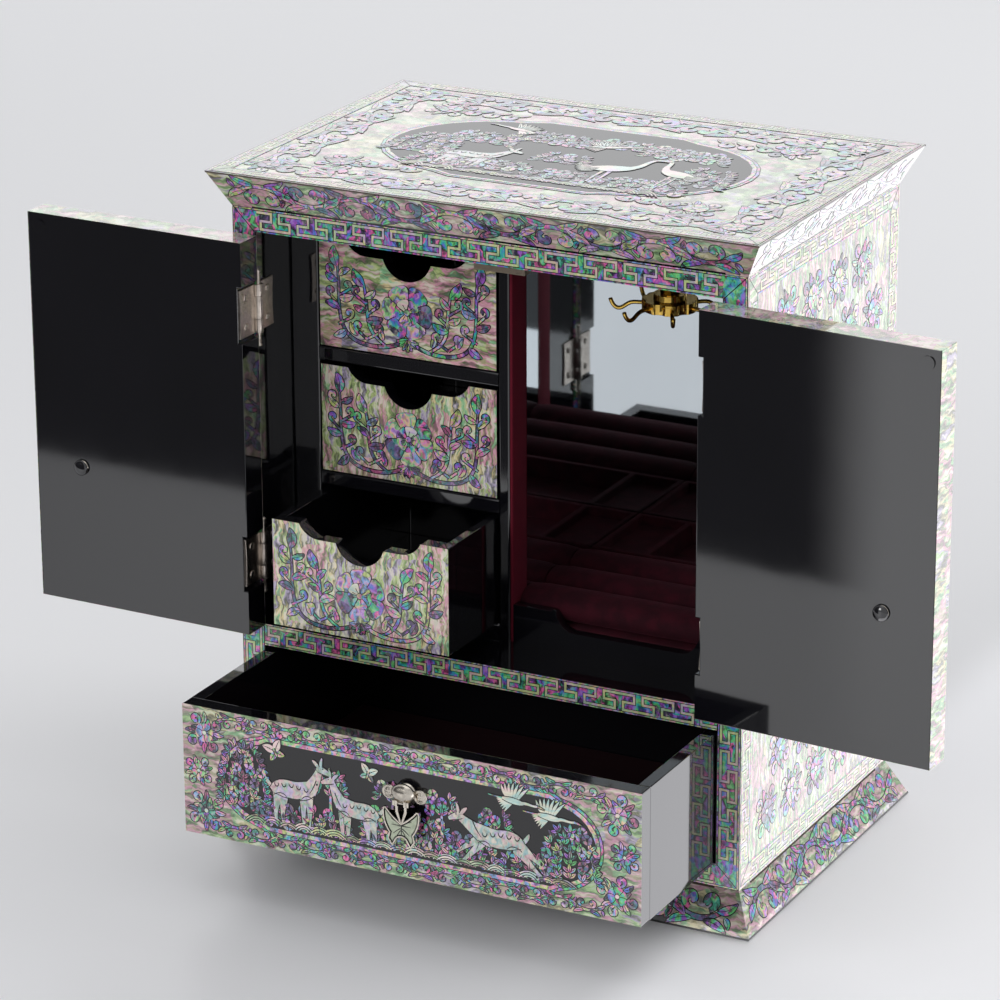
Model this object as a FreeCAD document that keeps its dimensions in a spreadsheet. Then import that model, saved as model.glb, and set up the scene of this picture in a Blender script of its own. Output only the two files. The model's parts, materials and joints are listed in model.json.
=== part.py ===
import FreeCAD, Part
import math
import os
import Sketcher

# A lacquered jewellery chest: a flared top and plinth, two doors, a column of three small
# drawers beside a mirrored hanging space, and one wide drawer underneath.
# Millimetres, +Z up. The origin is the middle of the plinth's lower rear edge, X runs to
# the right seen from the front, and the front faces -Y.

SIZES = [
    ("case_width", 290.0, "case, side to side"),
    ("case_depth", 192.0, "case, front to back"),
    ("side_thickness", 13.5, "side panels"),
    ("back_thickness", 3.0, "back panel"),
    ("bottom_thickness", 12.0, "board under the wide drawer"),
    ("mid_thickness", 12.0, "board under the doors"),
    ("top_thickness", 12.5, "board over the doors"),
    ("drawer_opening", 74.0, "height of the wide drawer's opening"),
    ("door_opening", 215.5, "height of the doors' opening"),
    ("plinth_height", 21.5, "plinth"),
    ("plinth_flare", 10.5, "how far the plinth's foot stands out from the case"),
    ("foot_length", 43.5, "bracket foot, along the front at the table"),
    ("foot_slope", 5.0, "how much longer the foot is at the top of its cut-out"),
    ("foot_rise", 6.6, "height of the cut-out between the bracket feet"),
    ("cap_height", 19.5, "flared top"),
    ("cap_flare", 10.0, "how far the top's rim stands out from the case"),
    ("moulding_depth", 14.0, "plinth and top mouldings, over the case's edge"),
    ("cap_rim", 5.0, "rim of the moulding round the top panel"),
    ("top_panel_thickness", 6.0, "panel let into the top mouldings"),
    ("arris", 1.2, "rounding of the inner boards' front edges"),
    ("column_set_back", 35.0, "from the case's front to the drawer column"),
    ("cheek_width", 16.3, "board between the case's side and the small drawers"),
    ("column_opening", 105.3, "width of the small drawers' openings"),
    ("divider_thickness", 6.5, "board between the column and the hanging space"),
    ("column_base_height", 8.9, "board under the lowest small drawer"),
    ("shelf_thickness", 8.0, "shelves between the small drawers"),
    ("shelf_gap", 61.0, "height of each small drawer's opening"),
    ("small_front_thickness", 8.5, "small drawers' fronts"),
    ("small_side_thickness", 5.0, "small drawers' sides and back"),
    ("small_floor_thickness", 3.0, "small drawers' floors"),
    ("small_depth", 145.0, "small drawers, front to back"),
    ("drawer_gap_side", 1.0, "beside a small drawer"),
    ("drawer_gap_top", 1.8, "over every drawer's front"),
    ("drawer_gap_bottom", 0.7, "under every drawer's front"),
    ("runner_gap", 0.3, "under the drawers' sides, which run on the boards"),
    ("shoulder_half", 35.7, "half the width of a small drawer's dip"),
    ("shoulder_drop", 7.4, "depth of the dip's flat shoulders"),
    ("shoulder_radius", 13.0, "curve at each end of the dip"),
    ("notch_half", 14.0, "half the width of the finger notch at the shoulders"),
    ("notch_radius", 14.6, "finger notch"),
    ("small_pulled", 54.2, "how far the lowest small drawer stands open"),
    ("strip_thickness", 1.8, "velvet strips and mirrors"),
    ("strip_depth", 16.0, "velvet strips, front to back"),
    ("lip_thickness", 6.0, "lip board"),
    ("lip_height", 21.1, "lip board at its ends"),
    ("lip_low", 10.8, "lip board in its dip"),
    ("lip_shoulder", 23.9, "from the lip's end to where it starts to dip"),
    ("lip_run", 5.5, "length of the dip's slope"),
    ("lip_round_top", 3.5, "curve into the dip's slope"),
    ("lip_round_low", 10.0, "curve out of the dip's slope"),
    ("soft_gap", 0.3, "round the velvet pieces"),
    ("tray_floor", 11.5, "velvet tray, under the ring rolls"),
    ("tray_rim", 23.5, "velvet tray's rear part, over the board"),
    ("tray_wall", 3.5, "walls round the tray's pockets"),
    ("tray_shelf", 5.0, "depth of the tray's shallow pocket"),
    ("tray_shallow", 26.0, "width of the tray's shallow pocket"),
    ("roll_width", 24.0, "ring roll, front to back"),
    ("roll_pitch", 28.5, "from one ring roll to the next"),
    ("roll_side", 8.0, "upright part of a ring roll"),
    ("roll_radius", 13.0, "round top of a ring roll"),
    ("door_thickness", 16.0, "doors"),
    ("door_gap", 1.0, "round each door"),
    ("hinge_inset", 1.75, "from the case's inner side to the hinge's axis"),
    ("hinge_proud", 1.8, "from the case's front to the hinge's axis"),
    ("hinge_end", 39.0, "from a door's end to the middle of its hinge"),
    ("hinge_height", 26.0, "hinge leaves"),
    ("leaf_reach", 16.6, "hinge leaf, from the hinge's axis"),
    ("leaf_thickness", 0.9, "hinge leaves"),
    ("leaf_waist", 0.7, "hollow in a hinge leaf's long edge"),
    ("waist_radius", 110.0, "curve of that hollow"),
    ("knuckle_radius", 2.5, "hinge knuckles"),
    ("knuckle_top", 6.5, "upper knuckle"),
    ("knuckle_middle", 12.0, "middle knuckle, on the door's leaf"),
    ("knuckle_gap", 0.15, "between knuckles, and round them in the other leaf"),
    ("pin_radius", 1.2, "hinge pin"),
    ("pin_clearance", 0.05, "between each pin and its bore"),
    ("pin_proud", 5.5, "how far a hinge pin stands out of its knuckles"),
    ("mortise_height", 30.0, "recess for a hinge in a door's edge"),
    ("left_open", 181.2, "angle at which the left door stands"),
    ("right_open", 176.2, "angle at which the right door stands"),
    ("wide_front_thickness", 9.5, "wide drawer's front"),
    ("wide_side_thickness", 7.0, "wide drawer's sides and back"),
    ("wide_floor_thickness", 4.0, "wide drawer's floor"),
    ("wide_floor_raise", 3.0, "wide drawer's floor over its sides' lower edges"),
    ("wide_depth", 183.0, "wide drawer, front to back"),
    ("wide_gap_side", 0.6, "beside the wide drawer"),
    ("wide_pulled", 86.0, "how far the wide drawer stands open"),
    ("lining_thickness", 1.5, "velvet on the wide drawer's floor"),
    ("catch_width", 29.0, "magnetic catch"),
    ("catch_depth", 14.0, "magnetic catch"),
    ("catch_room", 0.3, "from the catch to the upper small drawer's front"),
    ("catch_gap", 0.3, "from the catch to the strike discs of shut doors"),
    ("pole_width", 9.0, "the catch's magnets"),
    ("pole_proud", 0.4, "how far the magnets stand out"),
    ("pole_depth", 3.0, "the catch's magnets, front to back"),
    ("pole_margin", 1.0, "round the magnets on the catch's face"),
    ("strike_radius", 3.5, "strike discs"),
    ("strike_thickness", 0.8, "strike discs"),
    ("strike_edge", 7.0, "from a door's free edge to its strike disc"),
    ("strike_drop", 7.0, "from a door's top to its strike disc"),
    ("carousel_depth", 49.0, "from the column's front to the carousel's axis"),
    ("carousel_drop", 37.5, "from the ceiling to the carousel's lower rim"),
    ("carousel_rim", 5.5, "height of the carousel's rim"),
    ("carousel_radius", 14.5, "carousel plate"),
    ("flute_radius", 5.0, "hollows between the carousel's petals"),
    ("flute_depth", 1.4, "depth of those hollows"),
    ("hub_radius", 8.5, "carousel's hub"),
    ("hub_height", 3.0, "carousel's hub"),
    ("flange_radius", 11.0, "carousel's flange on the ceiling"),
    ("flange_thickness", 2.0, "carousel's flange on the ceiling"),
    ("stem_radius", 5.0, "carousel's stem"),
    ("spindle_radius", 2.0, "spindle that the carousel turns on"),
    ("head_radius", 4.2, "head under the carousel"),
    ("head_height", 1.8, "head under the carousel"),
    ("turning_gap", 0.2, "over and under the carousel"),
    ("wire_radius", 1.1, "carousel's hooks"),
    ("hook_straight", 5.0, "straight part of a hook, out from the plate"),
    ("hook_dip", 3.4, "depth of a hook's trough"),
    ("hook_fall", 6.2, "length of a hook's slope into its trough"),
    ("hook_tip", 6.2, "length of a hook's rising tip"),
    ("hook_rise", 4.5, "height of a hook's rising tip"),
    ("hook_first", 143.9, "direction of the first hook"),
    ("hook_count", 7.0, "hooks"),
    ("pull_width", 21.0, "butterfly pendant, wing to wing"),
    ("pull_height", 24.0, "butterfly pendant, from its pin to its tails"),
    ("pull_thickness", 1.6, "butterfly pendant"),
    ("bail_width", 1.4, "bail that carries the butterfly"),
    ("eye_half", 1.5, "half the height of the bail's eyes"),
    ("boss_radius", 5.6, "domed boss of a pull"),
    ("boss_height", 4.0, "domed boss of a pull"),
    ("rosette_radius", 3.7, "screw rosettes of a pull"),
    ("rosette_height", 2.0, "screw rosettes of a pull"),
    ("rosette_spacing", 17.9, "between a pull's rosettes"),
    ("pull_bar_width", 4.0, "bar of a pull that joins the rosettes behind the boss"),
    ("pull_bar_height", 1.2, "bar of a pull that joins the rosettes behind the boss"),
    ("pull_pin_radius", 0.8, "pin of a pull"),
    ("pull_pin_proud", 5.6, "pin of a pull, from the face that the pull is on"),
    ("pull_pin_drop", 3.6, "pin of a pull, below the boss's middle"),
    ("lug_start", 3.4, "from the middle of a pull to its lugs"),
    ("lug_thickness", 1.2, "lugs that carry the pin of a pull"),
    ("lug_end", 1.3, "end of a lug, beyond the pin's middle"),
    ("pull_rise", 11.0, "wide drawer's boss over the middle of its front"),
    ("pull_edge", 28.0, "door pull from the door's free edge"),
    ("pull_level", 76.5, "door pull over the doors' lower edge"),
    ("nut_radius", 4.0, "domed nut inside a door"),
    ("nut_height", 2.6, "domed nut inside a door"),
]

doc = FreeCAD.newDocument("jewellery_chest")
sheet = doc.addObject("Spreadsheet::Sheet", "Sizes")
for row, (alias, value, note) in enumerate(SIZES, start=1):
    sheet.set("A%d" % row, note)
    sheet.set("B%d" % row, str(value))
    sheet.setAlias("B%d" % row, alias)
doc.recompute()


class Size:
    """A number with the spreadsheet formula that gives it."""

    def __init__(self, value, text):
        self.value = value
        self.text = text

    def __add__(self, other):
        other = as_size(other)
        return Size(self.value + other.value, "(%s + %s)" % (self.text, other.text))

    def __radd__(self, other):
        return as_size(other) + self

    def __sub__(self, other):
        other = as_size(other)
        return Size(self.value - other.value, "(%s - %s)" % (self.text, other.text))

    def __rsub__(self, other):
        return as_size(other) - self

    def __mul__(self, other):
        other = as_size(other)
        return Size(self.value * other.value, "(%s * %s)" % (self.text, other.text))

    def __rmul__(self, other):
        return as_size(other) * self

    def __truediv__(self, other):
        other = as_size(other)
        return Size(self.value / other.value, "(%s / %s)" % (self.text, other.text))

    def __rtruediv__(self, other):
        return as_size(other) / self

    def __neg__(self):
        return Size(-self.value, "(-%s)" % self.text)


def as_size(number):
    if isinstance(number, Size):
        return number
    return Size(float(number), "(%s)" % float(number))


def root(area):
    return Size(math.sqrt(area.value), "sqrt(%s)" % area.text)


def sine(angle):
    return Size(math.sin(math.radians(angle.value)), "sin(%s * 1 deg)" % angle.text)


def cosine(angle):
    return Size(math.cos(math.radians(angle.value)), "cos(%s * 1 deg)" % angle.text)


def size(alias):
    return Size(float(sheet.get(alias)), "Sizes.%s" % alias)


def bind(item, path, length):
    """Give a property its value, and its formula where the value comes from the sheet."""
    length = as_size(length)
    item.setExpression(path, length.text)
    return length.value


def place(item, x, y, z):
    item.Placement.Base = FreeCAD.Vector(as_size(x).value, as_size(y).value, as_size(z).value)
    bind(item, "Placement.Base.x", x)
    bind(item, "Placement.Base.y", y)
    bind(item, "Placement.Base.z", z)


def swing(item, angle, x, y, z=0.0):
    """Stand a piece on an upright axis, turned by an angle in degrees."""
    turn = FreeCAD.Rotation(FreeCAD.Vector(0, 0, 1), as_size(angle).value)
    item.Placement = FreeCAD.Placement(FreeCAD.Vector(0, 0, 0), turn)
    place(item, x, y, z)
    bind(item, "Placement.Rotation.Angle", angle)


def named(item, label):
    item.Label = label
    return item


def board(label, x, y, z):
    """A plain board between two limits along each axis."""
    item = named(doc.addObject("Part::Box", label), label)
    item.Length = bind(item, "Length", x[1] - x[0])
    item.Width = bind(item, "Width", y[1] - y[0])
    item.Height = bind(item, "Height", z[1] - z[0])
    place(item, x[0], y[0], z[0])
    return item


def rod(label, radius, low, high, x=0.0, y=0.0):
    """An upright cylinder."""
    item = named(doc.addObject("Part::Cylinder", label), label)
    item.Radius = bind(item, "Radius", radius)
    item.Height = bind(item, "Height", high - low)
    place(item, x, y, low)
    return item


def joined(label, pieces):
    item = named(doc.addObject("Part::MultiFuse", label), label)
    item.Shapes = pieces
    return item


def cut(label, base, tool):
    item = named(doc.addObject("Part::Cut", label), label)
    item.Base = base
    item.Tool = tool
    return item


def group(label, pieces):
    """Separate solids that share one node."""
    item = named(doc.addObject("Part::Compound", label), label)
    item.Links = pieces
    return item


def body(label):
    return named(doc.addObject("PartDesign::Body", label), label)


def plane_of(owner, role):
    return [item for item in owner.Origin.OriginFeatures if item.Role == role + "_Plane"][0]


def sketch_on(owner, label, role, start):
    """A sketch on one of the body's own planes, moved along the plane's normal."""
    sketch = owner.newObject("Sketcher::SketchObject", label)
    sketch.AttachmentSupport = [(plane_of(owner, role), "")]
    sketch.MapMode = "FlatFace"
    sketch.AttachmentOffset.Base.z = bind(sketch, "AttachmentOffset.Base.z", start)
    return sketch


def tie(sketch, kind, item, point, length):
    length = as_size(length)
    if abs(length.value) < 1e-9:
        axis = -2 if kind == "DistanceX" else -1
        sketch.addConstraint(Sketcher.Constraint("PointOnObject", item, point, axis))
        return
    constraint = Sketcher.Constraint(kind, -1, 1, item, point, length.value)
    number = sketch.addConstraint(constraint)
    sketch.setExpression("Constraints[%d]" % number, length.text)


def tie_radius(sketch, item, radius):
    number = sketch.addConstraint(Sketcher.Constraint("Radius", item, as_size(radius).value))
    sketch.setExpression("Constraints[%d]" % number, as_size(radius).text)


def flat(corner):
    return FreeCAD.Vector(as_size(corner[0]).value, as_size(corner[1]).value, 0)


def arc_between(start, end, radius, turn):
    """The smaller arc from start to end, counter-clockwise where turn is positive."""
    chord = end - start
    half = chord.Length / 2
    side = FreeCAD.Vector(-chord.y, chord.x, 0).normalize() * turn
    centre = (start + end) / 2 + side * math.sqrt(radius * radius - half * half)
    ends = (start, end) if turn > 0 else (end, start)
    angles = [math.atan2(p.y - centre.y, p.x - centre.x) for p in ends]
    circle = Part.Circle(centre, FreeCAD.Vector(0, 0, 1), radius)
    return Part.ArcOfCircle(circle, angles[0], angles[1])


def outline(sketch, corners, closed=True):
    """Lines and arcs. A corner is (x, y), or (x, y, radius, turn) where an arc follows it."""
    first = sketch.GeometryCount
    count = len(corners) if closed else len(corners) - 1
    ends = []
    for index in range(count):
        corner = corners[index]
        start = flat(corner)
        end = flat(corners[(index + 1) % len(corners)])
        if len(corner) == 2:
            sketch.addGeometry(Part.LineSegment(start, end))
            ends.append((1, 2))
        else:
            sketch.addGeometry(arc_between(start, end, as_size(corner[2]).value, corner[3]))
            ends.append((1, 2) if corner[3] > 0 else (2, 1))
    for index in range(count):
        corner = corners[index]
        item = first + index
        point = ends[index][0]
        if closed or index > 0:
            before = (index - 1) % count
            joint = Sketcher.Constraint("Coincident", first + before, ends[before][1], item, point)
            sketch.addConstraint(joint)
        tie(sketch, "DistanceX", item, point, corner[0])
        tie(sketch, "DistanceY", item, point, corner[1])
        if len(corner) > 2:
            tie_radius(sketch, item, corner[2])
    if not closed:
        last = first + count - 1
        tie(sketch, "DistanceX", last, ends[-1][1], corners[-1][0])
        tie(sketch, "DistanceY", last, ends[-1][1], corners[-1][1])


def circle(sketch, x, y, radius):
    item = sketch.GeometryCount
    centre = FreeCAD.Vector(as_size(x).value, as_size(y).value, 0)
    sketch.addGeometry(Part.Circle(centre, FreeCAD.Vector(0, 0, 1), as_size(radius).value))
    tie_radius(sketch, item, radius)
    tie(sketch, "DistanceX", item, 3, x)
    tie(sketch, "DistanceY", item, 3, y)


def rectangle(x, y):
    return [(x[0], y[0]), (x[1], y[0]), (x[1], y[1]), (x[0], y[1])]


def drawn(owner, label, role, start, corners, disc):
    """A sketch of an outline, or of a circle given as (x, y, radius)."""
    sketch = sketch_on(owner, label + "_outline", role, start)
    if corners:
        outline(sketch, corners)
    if disc:
        circle(sketch, *disc)
    return sketch


def pad(owner, label, role, corners, span, disc=None):
    """Material over an outline or a circle, between two limits along the plane's axis."""
    # the XZ plane's normal points to -Y
    start = -as_size(span[1]) if role == "XZ" else span[0]
    item = owner.newObject("PartDesign::Pad", label)
    item.Profile = drawn(owner, label, role, start, corners, disc)
    item.Length = bind(item, "Length", as_size(span[1]) - span[0])
    return item


def pocket(owner, label, role, corners, span, disc=None):
    """A cut over an outline or a circle, between two limits along the plane's axis."""
    # a pocket runs against the plane's normal, so it starts at the far limit
    start = -as_size(span[0]) if role == "XZ" else span[1]
    sketch = drawn(owner, label, role, start, corners, disc)
    item = owner.newObject("PartDesign::Pocket", label)
    item.Profile = sketch
    item.Length = bind(item, "Length", as_size(span[1]) - span[0])
    return item


def turning(owner, label, role, corners):
    """A half outline, as (radius, place on the axis), spun about its plane's second axis."""
    sketch = drawn(owner, label, role, 0.0, corners, None)
    item = owner.newObject("PartDesign::Revolution", label)
    item.Profile = sketch
    item.ReferenceAxis = (sketch, ["V_Axis"])
    return item


def turned(label, corners):
    """A piece turned about its own upright axis."""
    owner = body(label)
    turning(owner, label + "_turning", "XZ", corners)
    return owner


def edges_where(shape, test):
    return ["Edge%d" % (n + 1) for n, edge in enumerate(shape.Edges) if test(edge)]


def along(edge, axis):
    """Is this a straight edge along an axis, given as 0, 1 or 2?"""
    if not isinstance(edge.Curve, Part.Line):
        return False
    return abs(abs(edge.Curve.Direction[axis]) - 1.0) < 1e-6


def fillet(owner, label, radius, test):
    doc.recompute()
    base = owner.Tip
    item = owner.newObject("PartDesign::Fillet", label)
    item.Base = (base, edges_where(base.Shape, test))
    item.Radius = bind(item, "Radius", radius)
    return item


half = size("case_width") / 2
inner = half - size("side_thickness")
front = -(size("case_depth") + size("plinth_flare"))
back = -size("plinth_flare")
inside_back = back - size("back_thickness")
floor_z = size("plinth_height")
drawer_z = floor_z + size("bottom_thickness")
mid_z = drawer_z + size("drawer_opening")
door_z = mid_z + size("mid_thickness")
ceiling_z = door_z + size("door_opening")
cap_z = ceiling_z + size("top_thickness")
top_z = cap_z + size("cap_height")

parts = []

# The case: boards between two side panels, closed by a thin back.
case_sides = (front, back)
parts.append(board("left_side_panel", (-half, -inner), case_sides, (floor_z, cap_z)))
parts.append(board("right_side_panel", (inner, half), case_sides, (floor_z, cap_z)))
for label, low, high in (
    ("bottom_board", floor_z, drawer_z),
    ("mid_board", mid_z, door_z),
    ("top_board", ceiling_z, cap_z),
):
    parts.append(board(label, (-inner, inner), (front, inside_back), (low, high)))
parts.append(board("back_panel", (-inner, inner), (inside_back, back), (floor_z, cap_z)))


def moulding(label, side, profile, flare, low, high):
    """One length of the ring round the case, mitred at both ends.

    The profile's points are (how far out from the case's face, height).
    """
    owner = body(label)
    depth = size("moulding_depth")
    across = side in ("front", "back")
    face = {"front": front, "back": back, "left": -half, "right": half}[side]
    sign = -1.0 if side in ("front", "left") else 1.0
    section = [(face + out * sign, height) for out, height in profile]
    if across:
        ends = (-half - flare, half + flare)
        pad(owner, label + "_run", "YZ", section, ends)
    else:
        ends = (front - flare, back + flare)
        pad(owner, label + "_run", "XZ", section, ends)
    outer = face + flare * sign
    rear = face - depth * sign
    for number, end in enumerate(ends):
        inward = 1.0 if number == 0 else -1.0
        heel = end + (flare + depth) * inward
        corners = [(end, outer), (heel, rear), (end, rear)]
        if not across:
            corners = [(y, x) for x, y in corners]
        pocket(owner, "%s_mitre_%d" % (label, number + 1), "XY", corners, (low, high))
    return owner


cap_flare = size("cap_flare")
cap_depth = size("moulding_depth")
panel_z = top_z - size("top_panel_thickness")
panel_out = cap_flare - size("cap_rim")
cap_profile = [
    (-cap_depth, cap_z),
    (0.0, cap_z),
    (cap_flare, top_z),
    (panel_out, top_z),
    (panel_out, panel_z),
    (-cap_depth, panel_z),
]
plinth_flare = size("plinth_flare")
plinth_profile = [
    (-cap_depth, 0.0),
    (plinth_flare, 0.0),
    (0.0, floor_z),
    (-cap_depth, floor_z),
]
for side in ("front", "back", "left", "right"):
    parts.append(moulding("cap_" + side, side, cap_profile, cap_flare, cap_z, top_z))
    plinth = moulding(
        "plinth_" + side, side, plinth_profile, plinth_flare, as_size(0.0), floor_z
    )
    parts.append(plinth)
    if side == "front":
        foot = half + plinth_flare - size("foot_length")
        crown = foot - size("foot_slope")
        rise = size("foot_rise")
        gap = [(-foot, 0.0), (foot, 0.0), (crown, rise), (-crown, rise)]
        span = (front - plinth_flare, front + cap_depth)
        pocket(plinth, "plinth_front_gap", "XZ", gap, span)

panel_x = (-half - panel_out, half + panel_out)
panel_y = (front - panel_out, back + panel_out)
parts.append(board("top_panel", panel_x, panel_y, (panel_z, top_z)))

# The column of small drawers, set back behind the left door.
set_y = front + size("column_set_back")
column_x = -inner + size("cheek_width")
column_end = column_x + size("column_opening")
divider_end = column_end + size("divider_thickness")
column_y = (set_y, inside_back)
base_z = door_z + size("column_base_height")
pitch = size("shelf_gap") + size("shelf_thickness")
lower_shelf_z = base_z + size("shelf_gap")
upper_shelf_z = lower_shelf_z + pitch
column_top_z = upper_shelf_z + pitch


def rounded_board(label, x, y, z, axis):
    """A board whose long front edges, along the axis, are rounded."""
    owner = body(label)
    pad(owner, label + "_slab", "XY", rectangle(x, y), z)
    face = as_size(y[0]).value

    def is_front(edge):
        return along(edge, axis) and abs(edge.CenterOfMass.y - face) < 1e-6

    fillet(owner, label + "_arris", size("arris"), is_front)
    return owner


upright = (door_z, ceiling_z)
between = (column_x, column_end)
parts.append(rounded_board("column_cheek", (-inner, column_x), column_y, upright, 2))
parts.append(rounded_board("column_divider", (column_end, divider_end), column_y, upright, 2))
for label, low, high in (
    ("column_base", door_z, base_z),
    ("lower_shelf", lower_shelf_z, lower_shelf_z + size("shelf_thickness")),
    ("upper_shelf", upper_shelf_z, upper_shelf_z + size("shelf_thickness")),
    ("column_top", column_top_z, ceiling_z),
):
    parts.append(rounded_board(label, between, column_y, (low, high), 0))

# The hanging space behind the right door: mirrors on three walls, velvet at their front.
wall_x = divider_end + size("strip_thickness")
wall_end = inner - size("strip_thickness")
strip_y = set_y + size("strip_depth")
mirror_y = inside_back - size("strip_thickness")
left_wall = (divider_end, wall_x)
right_wall = (wall_end, inner)
parts.append(board("left_velvet_strip", left_wall, (set_y, strip_y), upright))
parts.append(board("right_velvet_strip", right_wall, (set_y, strip_y), upright))
parts.append(board("left_mirror", left_wall, (strip_y, mirror_y), upright))
parts.append(board("right_mirror", right_wall, (strip_y, mirror_y), upright))
parts.append(board("back_mirror", (divider_end, inner), (mirror_y, inside_back), upright))

lip = body("lip_board")
lip_y = (set_y, set_y + size("lip_thickness"))
lip_top = door_z + size("lip_height")
dip_z = door_z + size("lip_low")
dip_start = wall_x + size("lip_shoulder")
dip_end = wall_end - size("lip_shoulder")
run = size("lip_run")
lip_outline = [
    (wall_x, door_z),
    (wall_end, door_z),
    (wall_end, lip_top),
    (dip_end, lip_top),
    (dip_end - run, dip_z),
    (dip_start + run, dip_z),
    (dip_start, lip_top),
    (wall_x, lip_top),
]
pad(lip, "lip_plate", "XZ", lip_outline, lip_y)


def crossing_edges(places, level):
    """Edges through a board's thickness at these distances along X and this height."""

    def test(edge):
        middle = edge.CenterOfMass
        at_place = min(abs(middle.x - place.value) for place in places) < 1e-6
        return along(edge, 1) and at_place and abs(middle.z - level.value) < 1e-6

    return test


fillet(lip, "lip_crest", size("lip_round_top"), crossing_edges((dip_start, dip_end), lip_top))
hollows = crossing_edges((dip_start + run, dip_end - run), dip_z)
fillet(lip, "lip_hollow", size("lip_round_low"), hollows)
parts.append(lip)

# The velvet tray: a floor for the ring rolls, and two pockets behind them.
soft = size("soft_gap")
tray_x = (wall_x + soft, wall_end - soft)
tray_y = (lip_y[1] + soft, mirror_y - soft)
tray_floor_z = door_z + size("tray_floor")
tray_rim_z = door_z + size("tray_rim")
roll_start = tray_y[0]
pockets_start = roll_start + 3.0 * size("roll_pitch")
wall = size("tray_wall")
tray = body("velvet_tray")
pad(tray, "tray_base", "XY", rectangle(tray_x, tray_y), (door_z, tray_floor_z))
rear = rectangle(tray_x, (pockets_start, tray_y[1]))
pad(tray, "tray_rear", "XY", rear, (tray_floor_z, tray_rim_z))
shallow_end = tray_x[0] + wall + size("tray_shallow")
pocket_y = (pockets_start + wall, tray_y[1] - wall)
shallow = rectangle((tray_x[0] + wall, shallow_end), pocket_y)
shelf_z = tray_rim_z - size("tray_shelf")
pocket(tray, "tray_shallow_pocket", "XY", shallow, (shelf_z, tray_rim_z))
deep = rectangle((shallow_end + wall, tray_x[1] - wall), pocket_y)
pocket(tray, "tray_deep_pocket", "XY", deep, (tray_floor_z, tray_rim_z))
parts.append(tray)

rolls = []
roll_top_z = tray_floor_z + size("roll_side")
for number in range(3):
    y = roll_start + float(number) * size("roll_pitch")
    roll = body("ring_roll_%d" % (number + 1))
    section = [
        (y, tray_floor_z),
        (y + size("roll_width"), tray_floor_z),
        (y + size("roll_width"), roll_top_z, size("roll_radius"), 1),
        (y, roll_top_z),
    ]
    pad(roll, "ring_roll_%d_length" % (number + 1), "YZ", section, tray_x)
    rolls.append(roll)
parts.append(group("ring_rolls", rolls))

# Small drawers: a front with a scalloped dip and finger notch, and a box behind it.
small_width = size("column_opening") - 2.0 * size("drawer_gap_side")
small_height = size("shelf_gap") - size("drawer_gap_top") - size("drawer_gap_bottom")


def small_front(label):
    """Local frame: X from the drawer's middle, Y from its face, Z from the front's lower edge."""
    owner = body(label)
    side = small_width / 2
    thick = size("small_front_thickness")
    through = (as_size(0.0), thick)
    pad(owner, label + "_board", "XZ", rectangle((-side, side), (0.0, small_height)), through)
    shoulder = small_height - size("shoulder_drop")
    reach = size("shoulder_half")
    radius = size("shoulder_radius")
    # the dip's end curve meets the shoulder level where it has flattened out
    depth = size("shoulder_drop")
    tangent = reach - root(2.0 * radius * depth - depth * depth)
    dip = [
        (-tangent, shoulder),
        (tangent, shoulder, radius, 1),
        (reach, small_height),
        (reach, small_height + 1.0),
        (-reach, small_height + 1.0),
        (-reach, small_height, radius, 1),
    ]
    pocket(owner, label + "_dip", "XZ", dip, through)
    notch = size("notch_half")
    bite = [
        (-notch, shoulder, size("notch_radius"), 1),
        (notch, shoulder),
        (notch, shoulder + 1.0),
        (-notch, shoulder + 1.0),
    ]
    pocket(owner, label + "_notch", "XZ", bite, through)
    return owner


def small_box(label):
    owner = body(label)
    side = small_width / 2
    start = size("small_front_thickness")
    end = size("small_depth")
    thick = size("small_side_thickness")
    low = size("runner_gap") - size("drawer_gap_bottom")
    floor_top = low + 2.0 * size("small_floor_thickness")
    pad(owner, label + "_block", "XY", rectangle((-side, side), (start, end)), (low, small_height))
    hollow = rectangle((-side + thick, side - thick), (start, end - thick))
    pocket(owner, label + "_hollow", "XY", hollow, (floor_top, small_height))
    pocket(owner, label + "_underside", "XY", hollow, (low, low + size("small_floor_thickness")))
    return owner


small_x = column_x + size("column_opening") / 2
for number, (name, pulled) in enumerate(
    (("lower", size("small_pulled")), ("middle", 0.0), ("upper", 0.0))
):
    z = base_z + float(number) * pitch + size("drawer_gap_bottom")
    for piece in (
        small_front(name + "_drawer_front"),
        small_box(name + "_drawer_box"),
    ):
        place(piece, small_x, set_y - pulled, z)
        parts.append(piece)

# The wide drawer: five boards and a velvet lining, pulled out under the doors.
wide_half = inner - size("wide_gap_side")
wide_face = front - size("wide_pulled")
wide_back = wide_face + size("wide_depth")
behind = wide_face + size("wide_front_thickness")
wide_front_z = (drawer_z + size("drawer_gap_bottom"), mid_z - size("drawer_gap_top"))
wide_z = (drawer_z + size("runner_gap"), wide_front_z[1])
thick = size("wide_side_thickness")
wide_inner = wide_half - thick
wide_floor = wide_z[0] + size("wide_floor_raise")
wide_floor_top = wide_floor + size("wide_floor_thickness")
lining_top = wide_floor_top + size("lining_thickness")
wide_boards = (
    ("wide_drawer_front", (-wide_half, wide_half), (wide_face, behind), wide_front_z),
    ("wide_drawer_left_side", (-wide_half, -wide_inner), (behind, wide_back), wide_z),
    ("wide_drawer_right_side", (wide_inner, wide_half), (behind, wide_back), wide_z),
    ("wide_drawer_back", (-wide_inner, wide_inner), (wide_back - thick, wide_back), wide_z),
    (
        "wide_drawer_floor",
        (-wide_inner, wide_inner),
        (behind, wide_back - thick),
        (wide_floor, wide_floor_top),
    ),
    (
        "wide_drawer_lining",
        (-wide_inner + soft, wide_inner - soft),
        (behind + soft, wide_back - thick - soft),
        (wide_floor_top, lining_top),
    ),
)
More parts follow.
